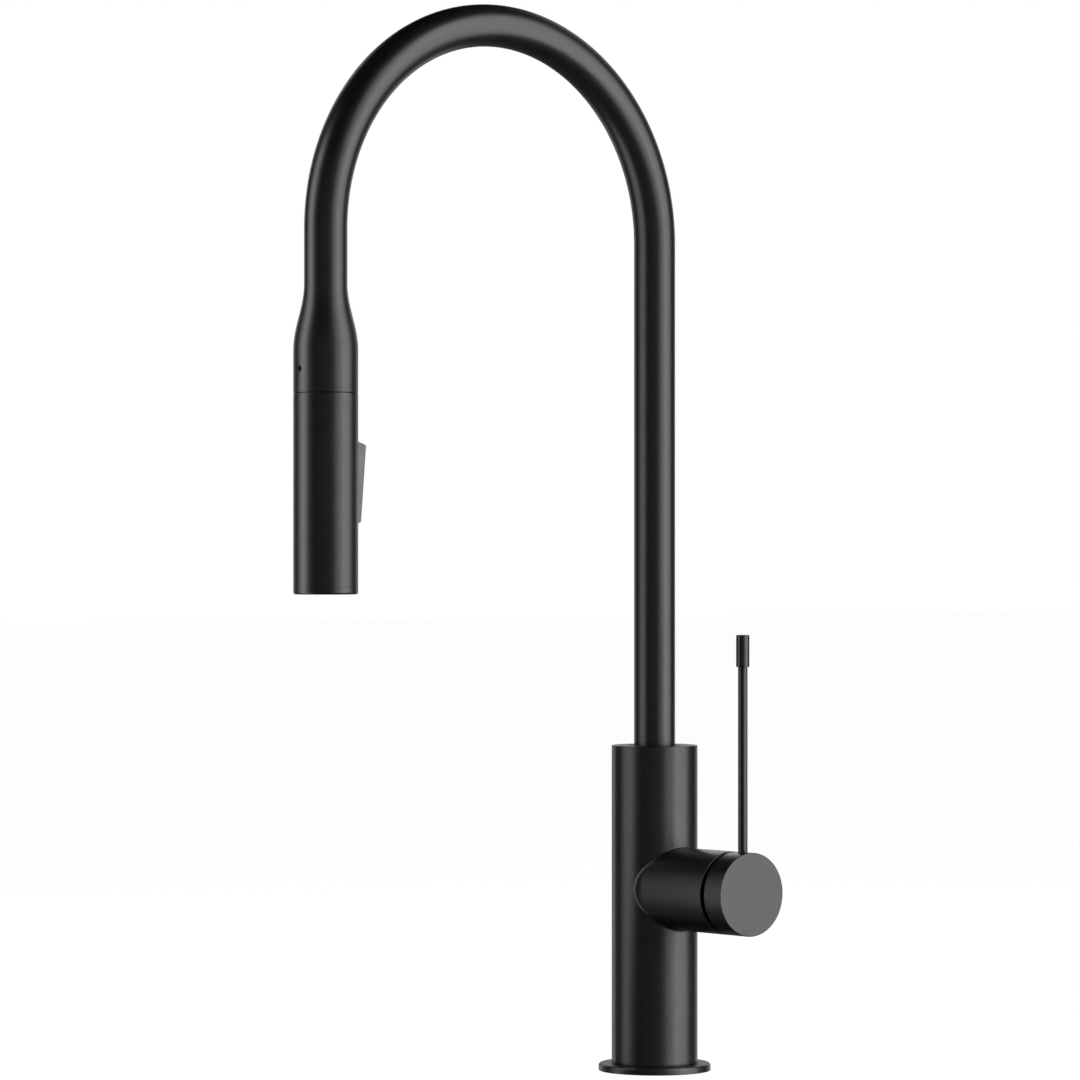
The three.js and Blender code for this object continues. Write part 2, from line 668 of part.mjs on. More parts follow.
// Holds the water ways, the spool's bore and the ears that carry the rocker's pin
function waterwayCore() {
  const earHalf = ROCKER_WIDTH / 2 + 0.4;
  const finger = 3.5;
  return cut(cylinder(CORE_RADIUS, CORE_BOTTOM, CORE_TOP),
    block([-earHalf, POCKET_FLOOR, ROCKER_HEIGHT - POCKET_HALF_HEIGHT],
      [earHalf, 20, ROCKER_HEIGHT + POCKET_HALF_HEIGHT]),
    cylinder(SPOOL_RADIUS + GAP, CORE_BOTTOM - 1, 334, COARSE).translate(0, SPOOL_AXIS, 0),
    cylinder(INLET_BORE, 330, CORE_TOP + 1, COARSE),
    cylinder(2.5, CORE_BOTTOM - 1, 320, SMALL).translate(0, -6.5, 0),
    block([-1.25, -6.5, 312], [1.25, SPOOL_AXIS, 317]),
    block([-2, SPOOL_AXIS, ROCKER_HEIGHT - finger], [2, POCKET_FLOOR + 1, ROCKER_HEIGHT + finger]),
    rockerAxle(1.3, CORE_RADIUS));
}

function rockerAxle(radius, halfLength) {
  return cylinder(radius, -halfLength, halfLength, SMALL)
    .rotateY(Math.PI / 2).translate(0, ROCKER_DEPTH, ROCKER_HEIGHT);
}

// Side outline of the button about its pin: [outwards, up]. The top stands proud and the
// bottom lies flush, so a press on the top tips it the other way.
function rockerOutline() {
  const proudTop = HEAD_RADIUS + 3.4 - ROCKER_DEPTH;
  const flushBottom = HEAD_RADIUS + 0.2 - ROCKER_DEPTH;
  const inner = 1.6;
  const onArc = (outwards, arc) => Math.sqrt(arc ** 2 - outwards ** 2);
  const points = [];
  const steps = 4;
  for (let step = 0; step <= steps; step += 1) {
    const outwards = THREE.MathUtils.lerp(flushBottom, inner, step / steps);
    points.push([outwards, -onArc(outwards, ROCKER_BOTTOM_ARC)]);
  }
  points.push([inner, -4], [-1.9, -2], [-1.9, 2], [inner, 4]);
  for (let step = 0; step <= steps; step += 1) {
    const outwards = THREE.MathUtils.lerp(inner, proudTop, step / steps);
    points.push([outwards, onArc(outwards, ROCKER_TOP_ARC)]);
  }
  return points;
}

function rockerButton() {
  const outline = rockerOutline().map(([outwards, up]) => new THREE.Vector2(outwards, up));
  const shape = new THREE.Shape(outline);
  const slab = new THREE.ExtrudeGeometry(shape, { depth: ROCKER_WIDTH, bevelEnabled: false })
    .translate(0, 0, -ROCKER_WIDTH / 2)
    .applyQuaternion(BRANCH_TURN)
    .translate(0, ROCKER_DEPTH, ROCKER_HEIGHT);
  const fingerEnd = SPOOL_AXIS + SPOOL_NECK + 0.4;
  const finger = cylinder(1.1, fingerEnd, ROCKER_DEPTH - 1, SMALL)
    .rotateX(-Math.PI / 2).translate(0, 0, ROCKER_HEIGHT);
  return cut(joined(slab, finger), rockerAxle(1.3, ROCKER_WIDTH));
}

// Slides in the core's bore; the rocker's finger sits in its waist
function diverterSpool() {
  const bottom = 290;
  const top = 328;
  const waistBottom = ROCKER_HEIGHT - 1.6;
  const waistTop = ROCKER_HEIGHT + 1.6;
  return turned([
    [0, bottom], [SPOOL_RADIUS, bottom], [SPOOL_RADIUS, waistBottom], [SPOOL_NECK, waistBottom],
    [SPOOL_NECK, waistTop], [SPOOL_RADIUS, waistTop], [SPOOL_RADIUS, top], [0, top],
  ], COARSE).translate(0, SPOOL_AXIS, 0);
}

function nozzlePlate() {
  const bottom = 257.2;
  const top = 259.2;
  return cut(ring(AERATOR_RADIUS + 0.4, PLATE_RADIUS, bottom, top),
    ...onJets(() => cylinder(1.1, bottom - 1, top + 1, JET_SIDES)));
}

function nozzleMat() {
  const bottom = 259.5;
  const top = 261;
  const nubBottom = 256.6;
  return joined(ring(AERATOR_RADIUS + 0.4, PLATE_RADIUS, bottom, top),
    ...onJets(() => cylinder(0.8, nubBottom, bottom + 0.5, JET_SIDES)));
}

function sprayHead() {
  const group = new THREE.Group();
  group.position.set(0, -2 * ARCH_RADIUS, 0);
  group.add(
    piece("head_shell", "black_coating", headShell()),
    piece("face_bezel", "black_coating", faceBezel()),
    piece("head_top", "black_plastic", headTop()),
    piece("head_inlet", "brass", headInlet()),
    piece("dock_keeper", "steel", ring(INLET_RADIUS + GAP, SPIGOT_RADIUS, SPIGOT_TOP + GAP, 376.6)),
    piece("check_valve", "white_plastic", turned([
      [1.2, 356], [3.2, 356], [3.2, 368], [1.2, 368],
    ], COARSE)),
    piece("waterway_core", "white_plastic", waterwayCore()),
    piece("rocker_pin", "steel", rockerAxle(1, 9.8)),
    piece("rocker_button", "grey_button", rockerButton()),
    piece("diverter_spool", "brass", diverterSpool()),
    piece("nozzle_plate", "black_plastic", nozzlePlate()),
    piece("nozzle_mat", "rubber", nozzleMat()),
    piece("aerator", "black_plastic", ring(2.5, AERATOR_RADIUS, 256.8, 267, COARSE)),
  );
  return group;
}

// ---- Assembly ----
const faucet = new THREE.Group();
faucet.add(
  piece("mixer_body", "black_coating", mixerBody()),
  ...Object.keys(PORTS).map(nipple),
  fixing(),
  cartridge(),
  lever(),
  piece("spout_bush", "black_plastic",
    ring(TUBE_RADIUS + GAP, SOCKET_RADIUS - 0.2, SLEEVE_TOP + GAP, BODY_TOP - 0.4)),
  piece("thrust_washer", "white_plastic",
    ring(8, SOCKET_RADIUS - 0.2, SOCKET_FLOOR + 0.2, SLEEVE_BOTTOM - GAP)),
  piece("spout_stop_screw", "steel", crossways(2.5, 0, STOP_SCREW_HEIGHT, 13.1, BODY_RADIUS - 0.5)),
  spout(),
  hoseInColumn(),
  hoseEnd(),
  sprayHead(),
);

export default faucet;
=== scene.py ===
"""Looks for the pull-down kitchen faucet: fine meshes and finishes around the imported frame.

Blender works in metres. Outlines are drawn in millimetres, which MM turns into metres, and the main
sizes and places are read from the frame. z = 0 is the worktop, the column stands on x = y = 0, the
spout reaches towards -Y and the lever stands on the +X side.
"""

import json
import math

import bmesh
import bpy
import numpy as np
from mathutils import Matrix, Vector


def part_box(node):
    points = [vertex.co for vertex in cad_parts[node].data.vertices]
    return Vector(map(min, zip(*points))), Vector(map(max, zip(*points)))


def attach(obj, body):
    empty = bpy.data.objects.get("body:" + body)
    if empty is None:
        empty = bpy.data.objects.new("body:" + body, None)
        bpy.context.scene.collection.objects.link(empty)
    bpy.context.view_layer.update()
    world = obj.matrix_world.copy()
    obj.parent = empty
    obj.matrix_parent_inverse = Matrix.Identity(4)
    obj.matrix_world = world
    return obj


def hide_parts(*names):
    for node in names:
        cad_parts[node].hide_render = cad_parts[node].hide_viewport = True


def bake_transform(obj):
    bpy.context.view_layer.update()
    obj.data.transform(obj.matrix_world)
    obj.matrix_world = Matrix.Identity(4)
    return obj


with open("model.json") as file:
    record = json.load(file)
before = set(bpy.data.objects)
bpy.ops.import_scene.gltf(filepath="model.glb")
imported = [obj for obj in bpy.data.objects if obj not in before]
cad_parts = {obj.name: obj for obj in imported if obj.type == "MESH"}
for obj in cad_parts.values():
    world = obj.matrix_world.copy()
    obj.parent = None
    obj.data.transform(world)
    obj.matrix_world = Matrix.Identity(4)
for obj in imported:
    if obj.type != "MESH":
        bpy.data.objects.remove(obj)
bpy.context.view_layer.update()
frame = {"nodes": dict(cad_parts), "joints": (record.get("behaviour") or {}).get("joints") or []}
MM = 0.001


# ---- Sizes read from the frame ----
def low(node):
    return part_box(node)[0]


def high(node):
    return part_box(node)[1]


def middle_of(node):
    return (low(node) + high(node)) / 2


def half_width(node, axis="x"):
    return (getattr(high(node), axis) - getattr(low(node), axis)) / 2


def span(node, axis="z"):
    """Where a node starts and ends along an axis, in millimetres."""
    return getattr(low(node), axis) / MM, getattr(high(node), axis) / MM


BODY_R = -low("mixer_body").x
BODY_TOP = high("mixer_body").z
BRANCH_END = high("mixer_body").x
KNOB_R = half_width("lever_knob", "y")
BRANCH_R = KNOB_R
BRANCH_Z = middle_of("lever_knob").z
TUBE_R = high("spout_tube").y
HEAD_R = high("spout_tube").x
HEAD_Y = low("spout_tube").y + HEAD_R
ARCH_R = -HEAD_Y / 2
SPRING = high("spout_tube").z - TUBE_R - ARCH_R  # height where the arch starts
HEAD_TOP = high("head_shell").z
SEAM = HEAD_TOP + 0.3 * MM  # lower end of the spout's collar
LEVER_X = middle_of("lever_rod").x
ROD_R = half_width("lever_rod")
HOSE_R = half_width("hose_drop")
ROCKER_PIN = (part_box("rocker_pin")[0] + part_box("rocker_pin")[1]) / 2
BUTTON_HALF = half_width("rocker_button") / MM

# Hidden bores, in millimetres
SHANK_BORE = 17.3  # pieces that the shank passes through
SPOUT_SOCKET = 14.4  # socket for the spout's bush in the top of the column
HOSE_WAY = 9  # the way for the hose or the stem behind a socket
DOCK_BORE = 5.8  # the head's top, for its threaded inlet

UPRIGHT = Matrix.Identity(4)
TO_FRONT = Matrix.Rotation(math.pi / 2, 4, "X")  # turns local Z to -Y
TO_BACK = Matrix.Rotation(-math.pi / 2, 4, "X")  # turns local Z to +Y
HEAD_AXIS = Matrix.Translation((0, HEAD_Y, 0))
# Local Z runs out along the branch, and local X is world Y
BRANCH_AXIS = Matrix.Translation((0, 0, BRANCH_Z)) @ Matrix(
    ((0, 0, 1, 0), (1, 0, 0, 0), (0, 1, 0, 0), (0, 0, 0, 1)))


# ---- Mesh helpers ----
def linked(name, mesh):
    obj = bpy.data.objects.new(name, mesh)
    bpy.context.scene.collection.objects.link(obj)
    return obj


def new_object(name, verts, faces):
    mesh = bpy.data.meshes.new(name)
    mesh.from_pydata(verts, [], faces)
    mesh.update()
    return linked(name, mesh)


def from_bmesh(name, bm):
    bmesh.ops.recalc_face_normals(bm, faces=bm.faces)
    mesh = bpy.data.meshes.new(name)
    bm.to_mesh(mesh)
    bm.free()
    return linked(name, mesh)


def applied(obj, modifier):
    with bpy.context.temp_override(object=obj, active_object=obj):
        bpy.ops.object.modifier_apply(modifier=modifier.name)


CORNER_STEPS = 5
CORNER_REACH = 0.45  # the most of a side that one corner may take


def softened(outline, closed):
    """Rounds each (r, z, radius) corner of an outline in millimetres to a short curve, in metres."""
    count = len(outline)
    points = []
    for i, corner in enumerate(outline):
        here = Vector(corner[:2])
        radius = corner[2] if len(corner) > 2 else 0
        at_end = not closed and i in (0, count - 1)
        if radius == 0 or at_end:
            points.append(here)
            continue
        before = Vector(outline[i - 1][:2]) - here
        after = Vector(outline[(i + 1) % count][:2]) - here
        reach = min(radius, CORNER_REACH * before.length, CORNER_REACH * after.length)
        start = here + before.normalized() * reach
        end = here + after.normalized() * reach
        for step in range(CORNER_STEPS + 1):
            t = step / CORNER_STEPS
            points.append(start * (1 - t) ** 2 + here * 2 * t * (1 - t) + end * t ** 2)
    return [(p.x * MM, p.y * MM) for p in points]


def lathe(name, outline, segments=96, place=UPRIGHT):
    """Turns an outline of (r, z, corner radius) in millimetres, which closes unless it starts on the axis."""
    closed = outline[0][0] > 0
    points = softened(outline, closed)
    verts, rings = [], []
    for r, z in points:
        if r == 0:
            rings.append([len(verts)])
            verts.append(place @ Vector((0, 0, z)))
            continue
        ring = []
        for k in range(segments):
            angle = 2 * math.pi * k / segments
            ring.append(len(verts))
            verts.append(place @ Vector((r * math.cos(angle), r * math.sin(angle), z)))
        rings.append(ring)
    pairs = list(zip(rings, rings[1:]))
    if closed:
        pairs.append((rings[-1], rings[0]))
    faces = []
    for a, b in pairs:
        for k in range(segments):
            n = (k + 1) % segments
            quad = [a[k % len(a)], a[n % len(a)], b[n % len(b)], b[k % len(b)]]
            faces.append(list(dict.fromkeys(quad)))
    return new_object(name, verts, faces)


def plain_ring(name, ends, inner, outer, edges, place=UPRIGHT, segments=96):
    """A ring between two heights, with corner radii from the inner bottom round to the inner top."""
    bottom, top = ends
    corners = ((inner, bottom), (outer, bottom), (outer, top), (inner, top))
    return lathe(name, [(*corner, edge) for corner, edge in zip(corners, edges)], segments, place)


def drum(radius, bottom, top, segments=24, place=UPRIGHT, edge=0.0):
    """A plain turned bar in millimetres."""
    outline = [(0, bottom), (radius, bottom, edge), (radius, top, edge), (0, top)]
    return lathe("drum", outline, segments, place)


def polished(obj, angle=32, width=None, segments=3):
    """Smooth shading with crisp corners, and normals that follow the large faces."""
    if width:
        bevel = obj.modifiers.new("bevel", "BEVEL")
        bevel.width = width * MM
        bevel.segments = segments
        bevel.limit_method = "ANGLE"
        bevel.angle_limit = math.radians(angle)
    obj.data.shade_smooth()
    obj.data.set_sharp_from_angle(angle=math.radians(angle))
    weighted = obj.modifiers.new("normals", "WEIGHTED_NORMAL")
    weighted.keep_sharp = True
    return obj


WELD = 0.004 * MM  # points closer than this are one


def combined(obj, operation, others):
    """Cuts the others out of the object or joins them on to it, for good."""
    for other in others:
        boolean = obj.modifiers.new("boolean", "BOOLEAN")
        boolean.operation = operation
        boolean.object = other
        boolean.solver = "EXACT"
        applied(obj, boolean)
        bpy.data.objects.remove(other)
    bm = bmesh.new()
    bm.from_mesh(obj.data)
    bmesh.ops.remove_doubles(bm, verts=bm.verts, dist=WELD)
    bmesh.ops.dissolve_degenerate(bm, edges=bm.edges, dist=WELD)
    bm.to_mesh(obj.data)
    bm.free()
    return obj


def carved(obj, *cutters):
    return combined(obj, "DIFFERENCE", cutters)


def fused(obj, *additions):
    return combined(obj, "UNION", additions)


def merged(name, objects):
    """One object out of several that don't touch, or that a remesh makes one."""
    bm = bmesh.new()
    for obj in objects:
        bm.from_mesh(obj.data)
        bpy.data.objects.remove(obj)
    return from_bmesh(name, bm)


def slab(low_corner, high_corner):
    """A box between two corners in millimetres."""
    a, b = Vector(low_corner) * MM, Vector(high_corner) * MM
    bm = bmesh.new()
    bmesh.ops.create_cube(bm, size=1)
    place = Matrix.Translation((a + b) / 2) @ Matrix.Diagonal((*(b - a), 1))
    bmesh.ops.transform(bm, matrix=place, verts=bm.verts)
    return from_bmesh("slab", bm)


def shifted(x, y, z=0):
    """A move in millimetres."""
    return Matrix.Translation((x * MM, y * MM, z * MM))


def turned(count, k, phase=0.0):
    """The k-th of count equal turns about Z."""
    return Matrix.Rotation(2 * math.pi * (k + phase) / count, 4, "Z")


# ---- Finishes ----
NOISE_LOW, NOISE_HIGH = 0.3, 0.7  # a noise texture keeps mostly between these


class Finish:
    """Builds one node material: a Principled shader with noise for colour, roughness and relief."""

    def __init__(self, name, roughness, metallic=0.0):
        self.material = bpy.data.materials.new(name)
        self.material.use_nodes = True
        self.nodes = self.material.node_tree.nodes
        self.links = self.material.node_tree.links
        self.shader = self.nodes["Principled BSDF"]
        self.shader.inputs["Metallic"].default_value = metallic
        self.shader.inputs["Roughness"].default_value = roughness
        self.place = self.nodes.new("ShaderNodeTexCoord").outputs["Object"]
        self.relief = None

    def noise(self, scale, detail=3.0, stretch=(1, 1, 1)):
        mapping = self.nodes.new("ShaderNodeMapping")
        mapping.inputs["Scale"].default_value = stretch
        self.links.new(self.place, mapping.inputs["Vector"])
        texture = self.nodes.new("ShaderNodeTexNoise")
        texture.inputs["Scale"].default_value = scale
        texture.inputs["Detail"].default_value = detail
        self.links.new(mapping.outputs["Vector"], texture.inputs["Vector"])
        return texture.outputs["Fac"]

    def spread(self, factor, low_value, high_value, socket):
        """Maps a noise factor to a range of values on a socket."""
        ramp = self.nodes.new("ShaderNodeMapRange")
        ramp.inputs["From Min"].default_value = NOISE_LOW
        ramp.inputs["From Max"].default_value = NOISE_HIGH
        ramp.inputs["To Min"].default_value = low_value
        ramp.inputs["To Max"].default_value = high_value
        self.links.new(factor, ramp.inputs["Value"])
        self.links.new(ramp.outputs["Result"], self.shader.inputs[socket])

    def colours(self, factor, *stops):
        ramp = self.nodes.new("ShaderNodeValToRGB")
        elements = ramp.color_ramp.elements
        while len(elements) < len(stops):
            elements.new(0.5)
        for element, (position, colour) in zip(elements, stops):
            element.position = position
            element.color = (*colour, 1)
        self.links.new(factor, ramp.inputs["Fac"])
        self.links.new(ramp.outputs["Color"], self.shader.inputs["Base Color"])

    def bump(self, height, strength, depth):
        """Adds relief of that depth in millimetres; calls stack on each other."""
        node = self.nodes.new("ShaderNodeBump")
        node.inputs["Strength"].default_value = strength
        node.inputs["Distance"].default_value = depth * MM
        self.links.new(height, node.inputs["Height"])
        if self.relief:
            self.links.new(self.relief, node.inputs["Normal"])
        self.relief = node.outputs["Normal"]
        self.links.new(self.relief, self.shader.inputs["Normal"])


def grey(value, tint=0.0):
    return (value, value, value * (1 + tint))


def satin_black():
    """Powder-fine satin black coating: cloudy sheen, orange-peel relief and fine grain."""
    finish = Finish("satin_black", 0.34)
    clouds = finish.noise(55, 4)
    finish.colours(clouds, (0.3, grey(0.0036, 0.03)), (0.7, grey(0.0052, 0.02)))
    finish.spread(finish.noise(140, 5), 0.325, 0.365, "Roughness")
    finish.bump(finish.noise(900, 2), 0.25, 0.012)
    finish.bump(finish.noise(4200, 2), 0.25, 0.004)
    return finish.material


def moulded(name, dark, light, roughness, grain=2600, tint=0.0):
    """Moulded plastic or rubber with a fine spark-eroded grain."""
    finish = Finish(name, roughness)
    finish.colours(finish.noise(120, 3), (0.3, grey(dark, tint)), (0.7, grey(light, tint)))
    finish.spread(finish.noise(300, 4), roughness - 0.05, roughness + 0.05, "Roughness")
    finish.bump(finish.noise(grain, 2), 0.4, 0.01)
    return finish.material


def machined(name, dark, light, roughness, stretch=(1, 1, 14)):
    """Turned metal with fine tool marks across its axis and a little tarnish."""
    finish = Finish(name, roughness, metallic=1.0)
    finish.colours(finish.noise(90, 5), (0.3, dark), (0.72, light))
    marks = finish.noise(500, 2, stretch)
    finish.spread(marks, roughness - 0.07, roughness + 0.08, "Roughness")
    finish.bump(marks, 0.3, 0.008)
    return finish.material


BLACK = satin_black()
BLACK_PLASTIC = moulded("black_plastic", 0.010, 0.015, 0.5)
BUTTON_GREY = moulded("button_grey", 0.058, 0.072, 0.42)
RUBBER = moulded("rubber", 0.012, 0.02, 0.72, grain=1500)
SILICONE = moulded("silicone", 0.03, 0.045, 0.5, grain=3000)
WHITE_PLASTIC = moulded("white_plastic", 0.62, 0.72, 0.42, tint=-0.03)
CERAMIC = moulded("ceramic", 0.72, 0.8, 0.22, grain=5000, tint=-0.06)
BRASS = machined("brass", (0.42, 0.27, 0.09), (0.66, 0.46, 0.19), 0.32)
STEEL = machined("steel", grey(0.38), grey(0.56, 0.02), 0.3)
OXIDE = machined("black_oxide", grey(0.012), grey(0.02), 0.42)
NYLON = moulded("hose_nylon", 0.02, 0.055, 0.45, grain=5200)


def dressed(obj, material, body, slot, *nodes):
    """Gives a finished piece its material and its body, and hides the CAD nodes it stands for; the slot is
    not used.
    """
    obj.data.materials.clear()
    obj.data.materials.append(material)
    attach(obj, body)
    if nodes:
        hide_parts(*nodes)
    return obj


# ---- Camera ----
CAMERA_AZIMUTH = math.radians(50.67)
CAMERA_DISTANCE = 2.6598
CAMERA_HEIGHT = 0.2838
CAMERA_SIDE = -0.0614
CAMERA_LENS = 165.5
TO_CAMERA = Vector((math.sin(CAMERA_AZIMUTH), -math.cos(CAMERA_AZIMUTH), 0))
TO_RIGHT = Vector((math.cos(CAMERA_AZIMUTH), math.sin(CAMERA_AZIMUTH), 0))


def make_camera():
    data = bpy.data.cameras.new("camera")
    data.lens = CAMERA_LENS
    data.sensor_width = 36
    camera = bpy.data.objects.new("camera", data)
    camera.location = TO_CAMERA * CAMERA_DISTANCE + TO_RIGHT * CAMERA_SIDE + Vector((0, 0, CAMERA_HEIGHT))
    camera.rotation_euler = (math.pi / 2, 0, CAMERA_AZIMUTH)
    bpy.context.scene.collection.objects.link(camera)
    bpy.context.scene.camera = camera


# ---- Light and surroundings ----
def panel(name, place, toward, width, height, radiance):
    """A rectangle of soft light at a place, shining the opposite way to toward."""
    data = bpy.data.lights.new(name, "AREA")
    data.shape = "RECTANGLE"
    data.size = width
    data.size_y = height
    data.energy = radiance * math.pi * width * height
    light = bpy.data.objects.new(name, data)
    light.location = place
    light.rotation_euler = toward.to_track_quat("Z", "Y").to_euler()
    light.visible_camera = False
    bpy.context.scene.collection.objects.link(light)


def softbox(name, bearing, distance, width, height, centre, radiance):
    """A tall panel that faces a centre; bearing is degrees to the right of the camera's side."""
    turn = math.radians(bearing)
    toward = TO_CAMERA * math.cos(turn) + TO_RIGHT * math.sin(turn)
    panel(name, centre + toward * distance, toward, width, height, radiance)


def make_lights():
    middle = Vector((0, HEAD_Y / 2, 0.7))
    softbox("right_softbox", 78, 1.2, 0.86, 2.0, middle, 3.6)
    softbox("right_fill", 51, 1.25, 0.8, 2.0, middle, 2.45)
    softbox("left_softbox", -83, 0.9, 0.36, 1.6, Vector((0, 0, 0.15)), 1.9)
    softbox("left_head_strip", -77, 0.22, 0.1, 0.6, Vector((0, HEAD_Y, 0.36)), 2.9)
    softbox("front_fill", 0, 3.2, 3.6, 2.3, Vector((0, HEAD_Y / 2, 0.75)), 0.2)
    softbox("back_glow", 180, 2.4, 1.0, 0.5, Vector((0, 0, 1.1)), 2.4)
    softbox("back_fill", 180, 2.4, 3.0, 2.2, Vector((0, 0, 0.7)), 0.3)
    softbox("rear_right", 152, 1.5, 0.6, 2.0, middle, 0.7)
    softbox("rear_left", -148, 1.5, 0.4, 2.0, middle, 1.0)
    panel("floor_bounce", Vector((0, 0, 0.0005)), Vector((0, 0, -1)), 2.4, 2.4, 0.11)


def make_surroundings():
    world = bpy.data.worlds.new("studio")
    bpy.context.scene.world = world
    world.use_nodes = True
    nodes, links = world.node_tree.nodes, world.node_tree.links
    backdrop = nodes["Background"]
    backdrop.inputs["Color"].default_value = (1, 1, 1, 1)
    seen = nodes.new("ShaderNodeLightPath")
    links.new(seen.outputs["Is Camera Ray"], backdrop.inputs["Strength"])

    bm = bmesh.new()
    bmesh.ops.create_grid(bm, x_segments=1, y_segments=1, size=12)
    floor = from_bmesh("floor", bm)
    material = bpy.data.materials.new("pale_floor")
    material.use_nodes = True
    nodes, links = material.node_tree.nodes, material.node_tree.links
    shader = nodes["Principled BSDF"]
    shader.inputs["Base Color"].default_value = (0.06, 0.06, 0.06, 1)
    shader.inputs["Roughness"].default_value = 0.9
    shader.inputs["Specular IOR Level"].default_value = 0
    shader.inputs["Emission Color"].default_value = (1, 1, 1, 1)
    shader.inputs["Emission Strength"].default_value = 0.98
    floor.data.materials.append(material)
    floor.visible_glossy = False
    floor.visible_diffuse = False
    bpy.context.scene.view_settings.view_transform = "Standard"


# ---- Mixer body: column and branch with a soft fillet, one welded casting ----
FILLET = 0.7 * MM
VOXEL = 0.6 * MM
JUNCTION_HALF = 42 * MM  # how far above and below the branch's axis the filleted stretch runs
JUNCTION_OUT = 44 * MM  # how far out along the branch it runs
BRANCH_ROOT = 15 * MM  # where the branch starts, inside the column
SPARE = 12 * MM  # remeshed beyond the stretch and trimmed off
SPARE_HELD = 4 * MM  # the end of the spare stretch, left as it was remeshed
SETTLE_ROUNDS = 12


def blend_distance(p):
    """Signed distance to the column and branch joined by a fillet, with its slope."""
    column = np.hypot(p[:, 0], p[:, 1])
    back = np.minimum(p[:, 0] - BRANCH_ROOT, 0)
    lift = p[:, 2] - BRANCH_Z
    branch = np.sqrt(back ** 2 + p[:, 1] ** 2 + lift ** 2)
    d_column, d_branch = column - BODY_R, branch - BRANCH_R
    share = np.clip(0.5 + 0.5 * (d_branch - d_column) / FILLET, 0, 1)
    distance = d_branch * (1 - share) + d_column * share - FILLET * share * (1 - share)
    column_slope = np.stack([p[:, 0], p[:, 1], 0 * lift], 1) / column[:, None]
    branch_slope = np.stack([back, p[:, 1], lift], 1) / branch[:, None]
    slope = share[:, None] * column_slope + (1 - share[:, None]) * branch_slope
    return distance, slope


def filleted_junction():
    """Column and branch remeshed as one skin, and each point moved on to the filleted surface."""
    reach = JUNCTION_HALF + SPARE
    column = drum(BODY_R / MM, (BRANCH_Z - reach) / MM, (BRANCH_Z + reach) / MM, 128)
    branch = drum(BRANCH_R / MM, 5, (JUNCTION_OUT + SPARE) / MM, 128, BRANCH_AXIS)
    raw = merged("junction", [column, branch])
    remesh = raw.modifiers.new("skin", "REMESH")
    remesh.mode = "VOXEL"
    remesh.voxel_size = VOXEL
    applied(raw, remesh)
    points = np.array([v.co for v in raw.data.vertices])
    free = np.abs(points[:, 2] - BRANCH_Z) < reach - SPARE_HELD
    free &= points[:, 0] < JUNCTION_OUT + SPARE - SPARE_HELD
    moving = points[free]
    for _ in range(SETTLE_ROUNDS):
        distance, slope = blend_distance(moving)
        moving -= slope * (distance / np.maximum((slope ** 2).sum(1), 0.2))[:, None]
    points[free] = moving
    raw.data.vertices.foreach_set("co", points.astype(np.float32).ravel())
    bm = bmesh.new()
    bm.from_mesh(raw.data)
    bpy.data.objects.remove(raw)
    trims = [((0, 0, BRANCH_Z + JUNCTION_HALF), (0, 0, 1)),
             ((0, 0, BRANCH_Z - JUNCTION_HALF), (0, 0, -1)),
             ((JUNCTION_OUT, 0, 0), (1, 0, 0))]
    for point, normal in trims:
        everything = bm.verts[:] + bm.edges[:] + bm.faces[:]
        bmesh.ops.bisect_plane(bm, geom=everything, plane_co=point, plane_no=normal, clear_outer=True)
    bmesh.ops.remove_doubles(bm, verts=bm.verts, dist=0.02 * MM)
    return bm


def grow_rim(bm, at_rim, outline, to_world):
    """Carries an open rim of the skin on along an outline of (r, height), and closes its end."""
    near = 0.05 * MM
    edges = [e for e in bm.edges if e.is_boundary and all(abs(at_rim(v.co)) < near for v in e.verts)]
    to_local = to_world.inverted()
    for r, h in outline:
        made = bmesh.ops.extrude_edge_only(bm, edges=edges)["geom"]
        fresh = set(made)
        edges = [g for g in made if isinstance(g, bmesh.types.BMEdge) and fresh.issuperset(g.verts)]
        for vert in made:
            if isinstance(vert, bmesh.types.BMVert):
                local = to_local @ vert.co
                angle = math.atan2(local.y, local.x)
                vert.co = to_world @ Vector((r * math.cos(angle), r * math.sin(angle), h))
    bmesh.ops.holes_fill(bm, edges=edges, sides=0)


def mixer_body():
    bm = filleted_junction()
    body, crown = BODY_R / MM, BODY_TOP / MM
    foot, seat = low("mixer_body").z / MM, high("shank").z / MM + 2
    shoulder, end = BRANCH_R / MM, BRANCH_END / MM
    hollow = 19  # the space for the nipples above the shank
    nut_seat, well = 19.7, 17.6  # the branch's bores for the cartridge nut and the cartridge
    socket_floor = crown - 43
    grow_rim(bm, lambda co: co.z - BRANCH_Z - JUNCTION_HALF, softened([
        (body, crown - 30), (body, crown, 0.6), (SPOUT_SOCKET, crown, 0.4), (SPOUT_SOCKET, crown - 12),
        (SPOUT_SOCKET, socket_floor), (HOSE_WAY, socket_floor)], False), UPRIGHT)
    grow_rim(bm, lambda co: co.z - BRANCH_Z + JUNCTION_HALF, softened([
        (body, 30), (body, foot, 0.25), (SHANK_BORE, foot, 0.4), (SHANK_BORE, seat), (hollow, seat),
        (hollow, 70), (8, 70)], False), UPRIGHT)
    grow_rim(bm, lambda co: co.x - JUNCTION_OUT, softened([
        (shoulder, end - 12), (shoulder, end, 0.6), (nut_seat, end, 0.4), (nut_seat, end - 8),
        (well, end - 8), (well, end - 32), (HOSE_WAY, end - 32)], False), BRANCH_AXIS)
    casting = from_bmesh("mixer_casting", bm)
    stop_hole = shifted(0, 0, middle_of("spout_stop_screw").z / MM) @ TO_BACK
    carved(casting, drum(2.8, 12, 30, 24, stop_hole))
    return dressed(polished(casting, 30), BLACK, "mixer", "matte_black", "mixer_body")


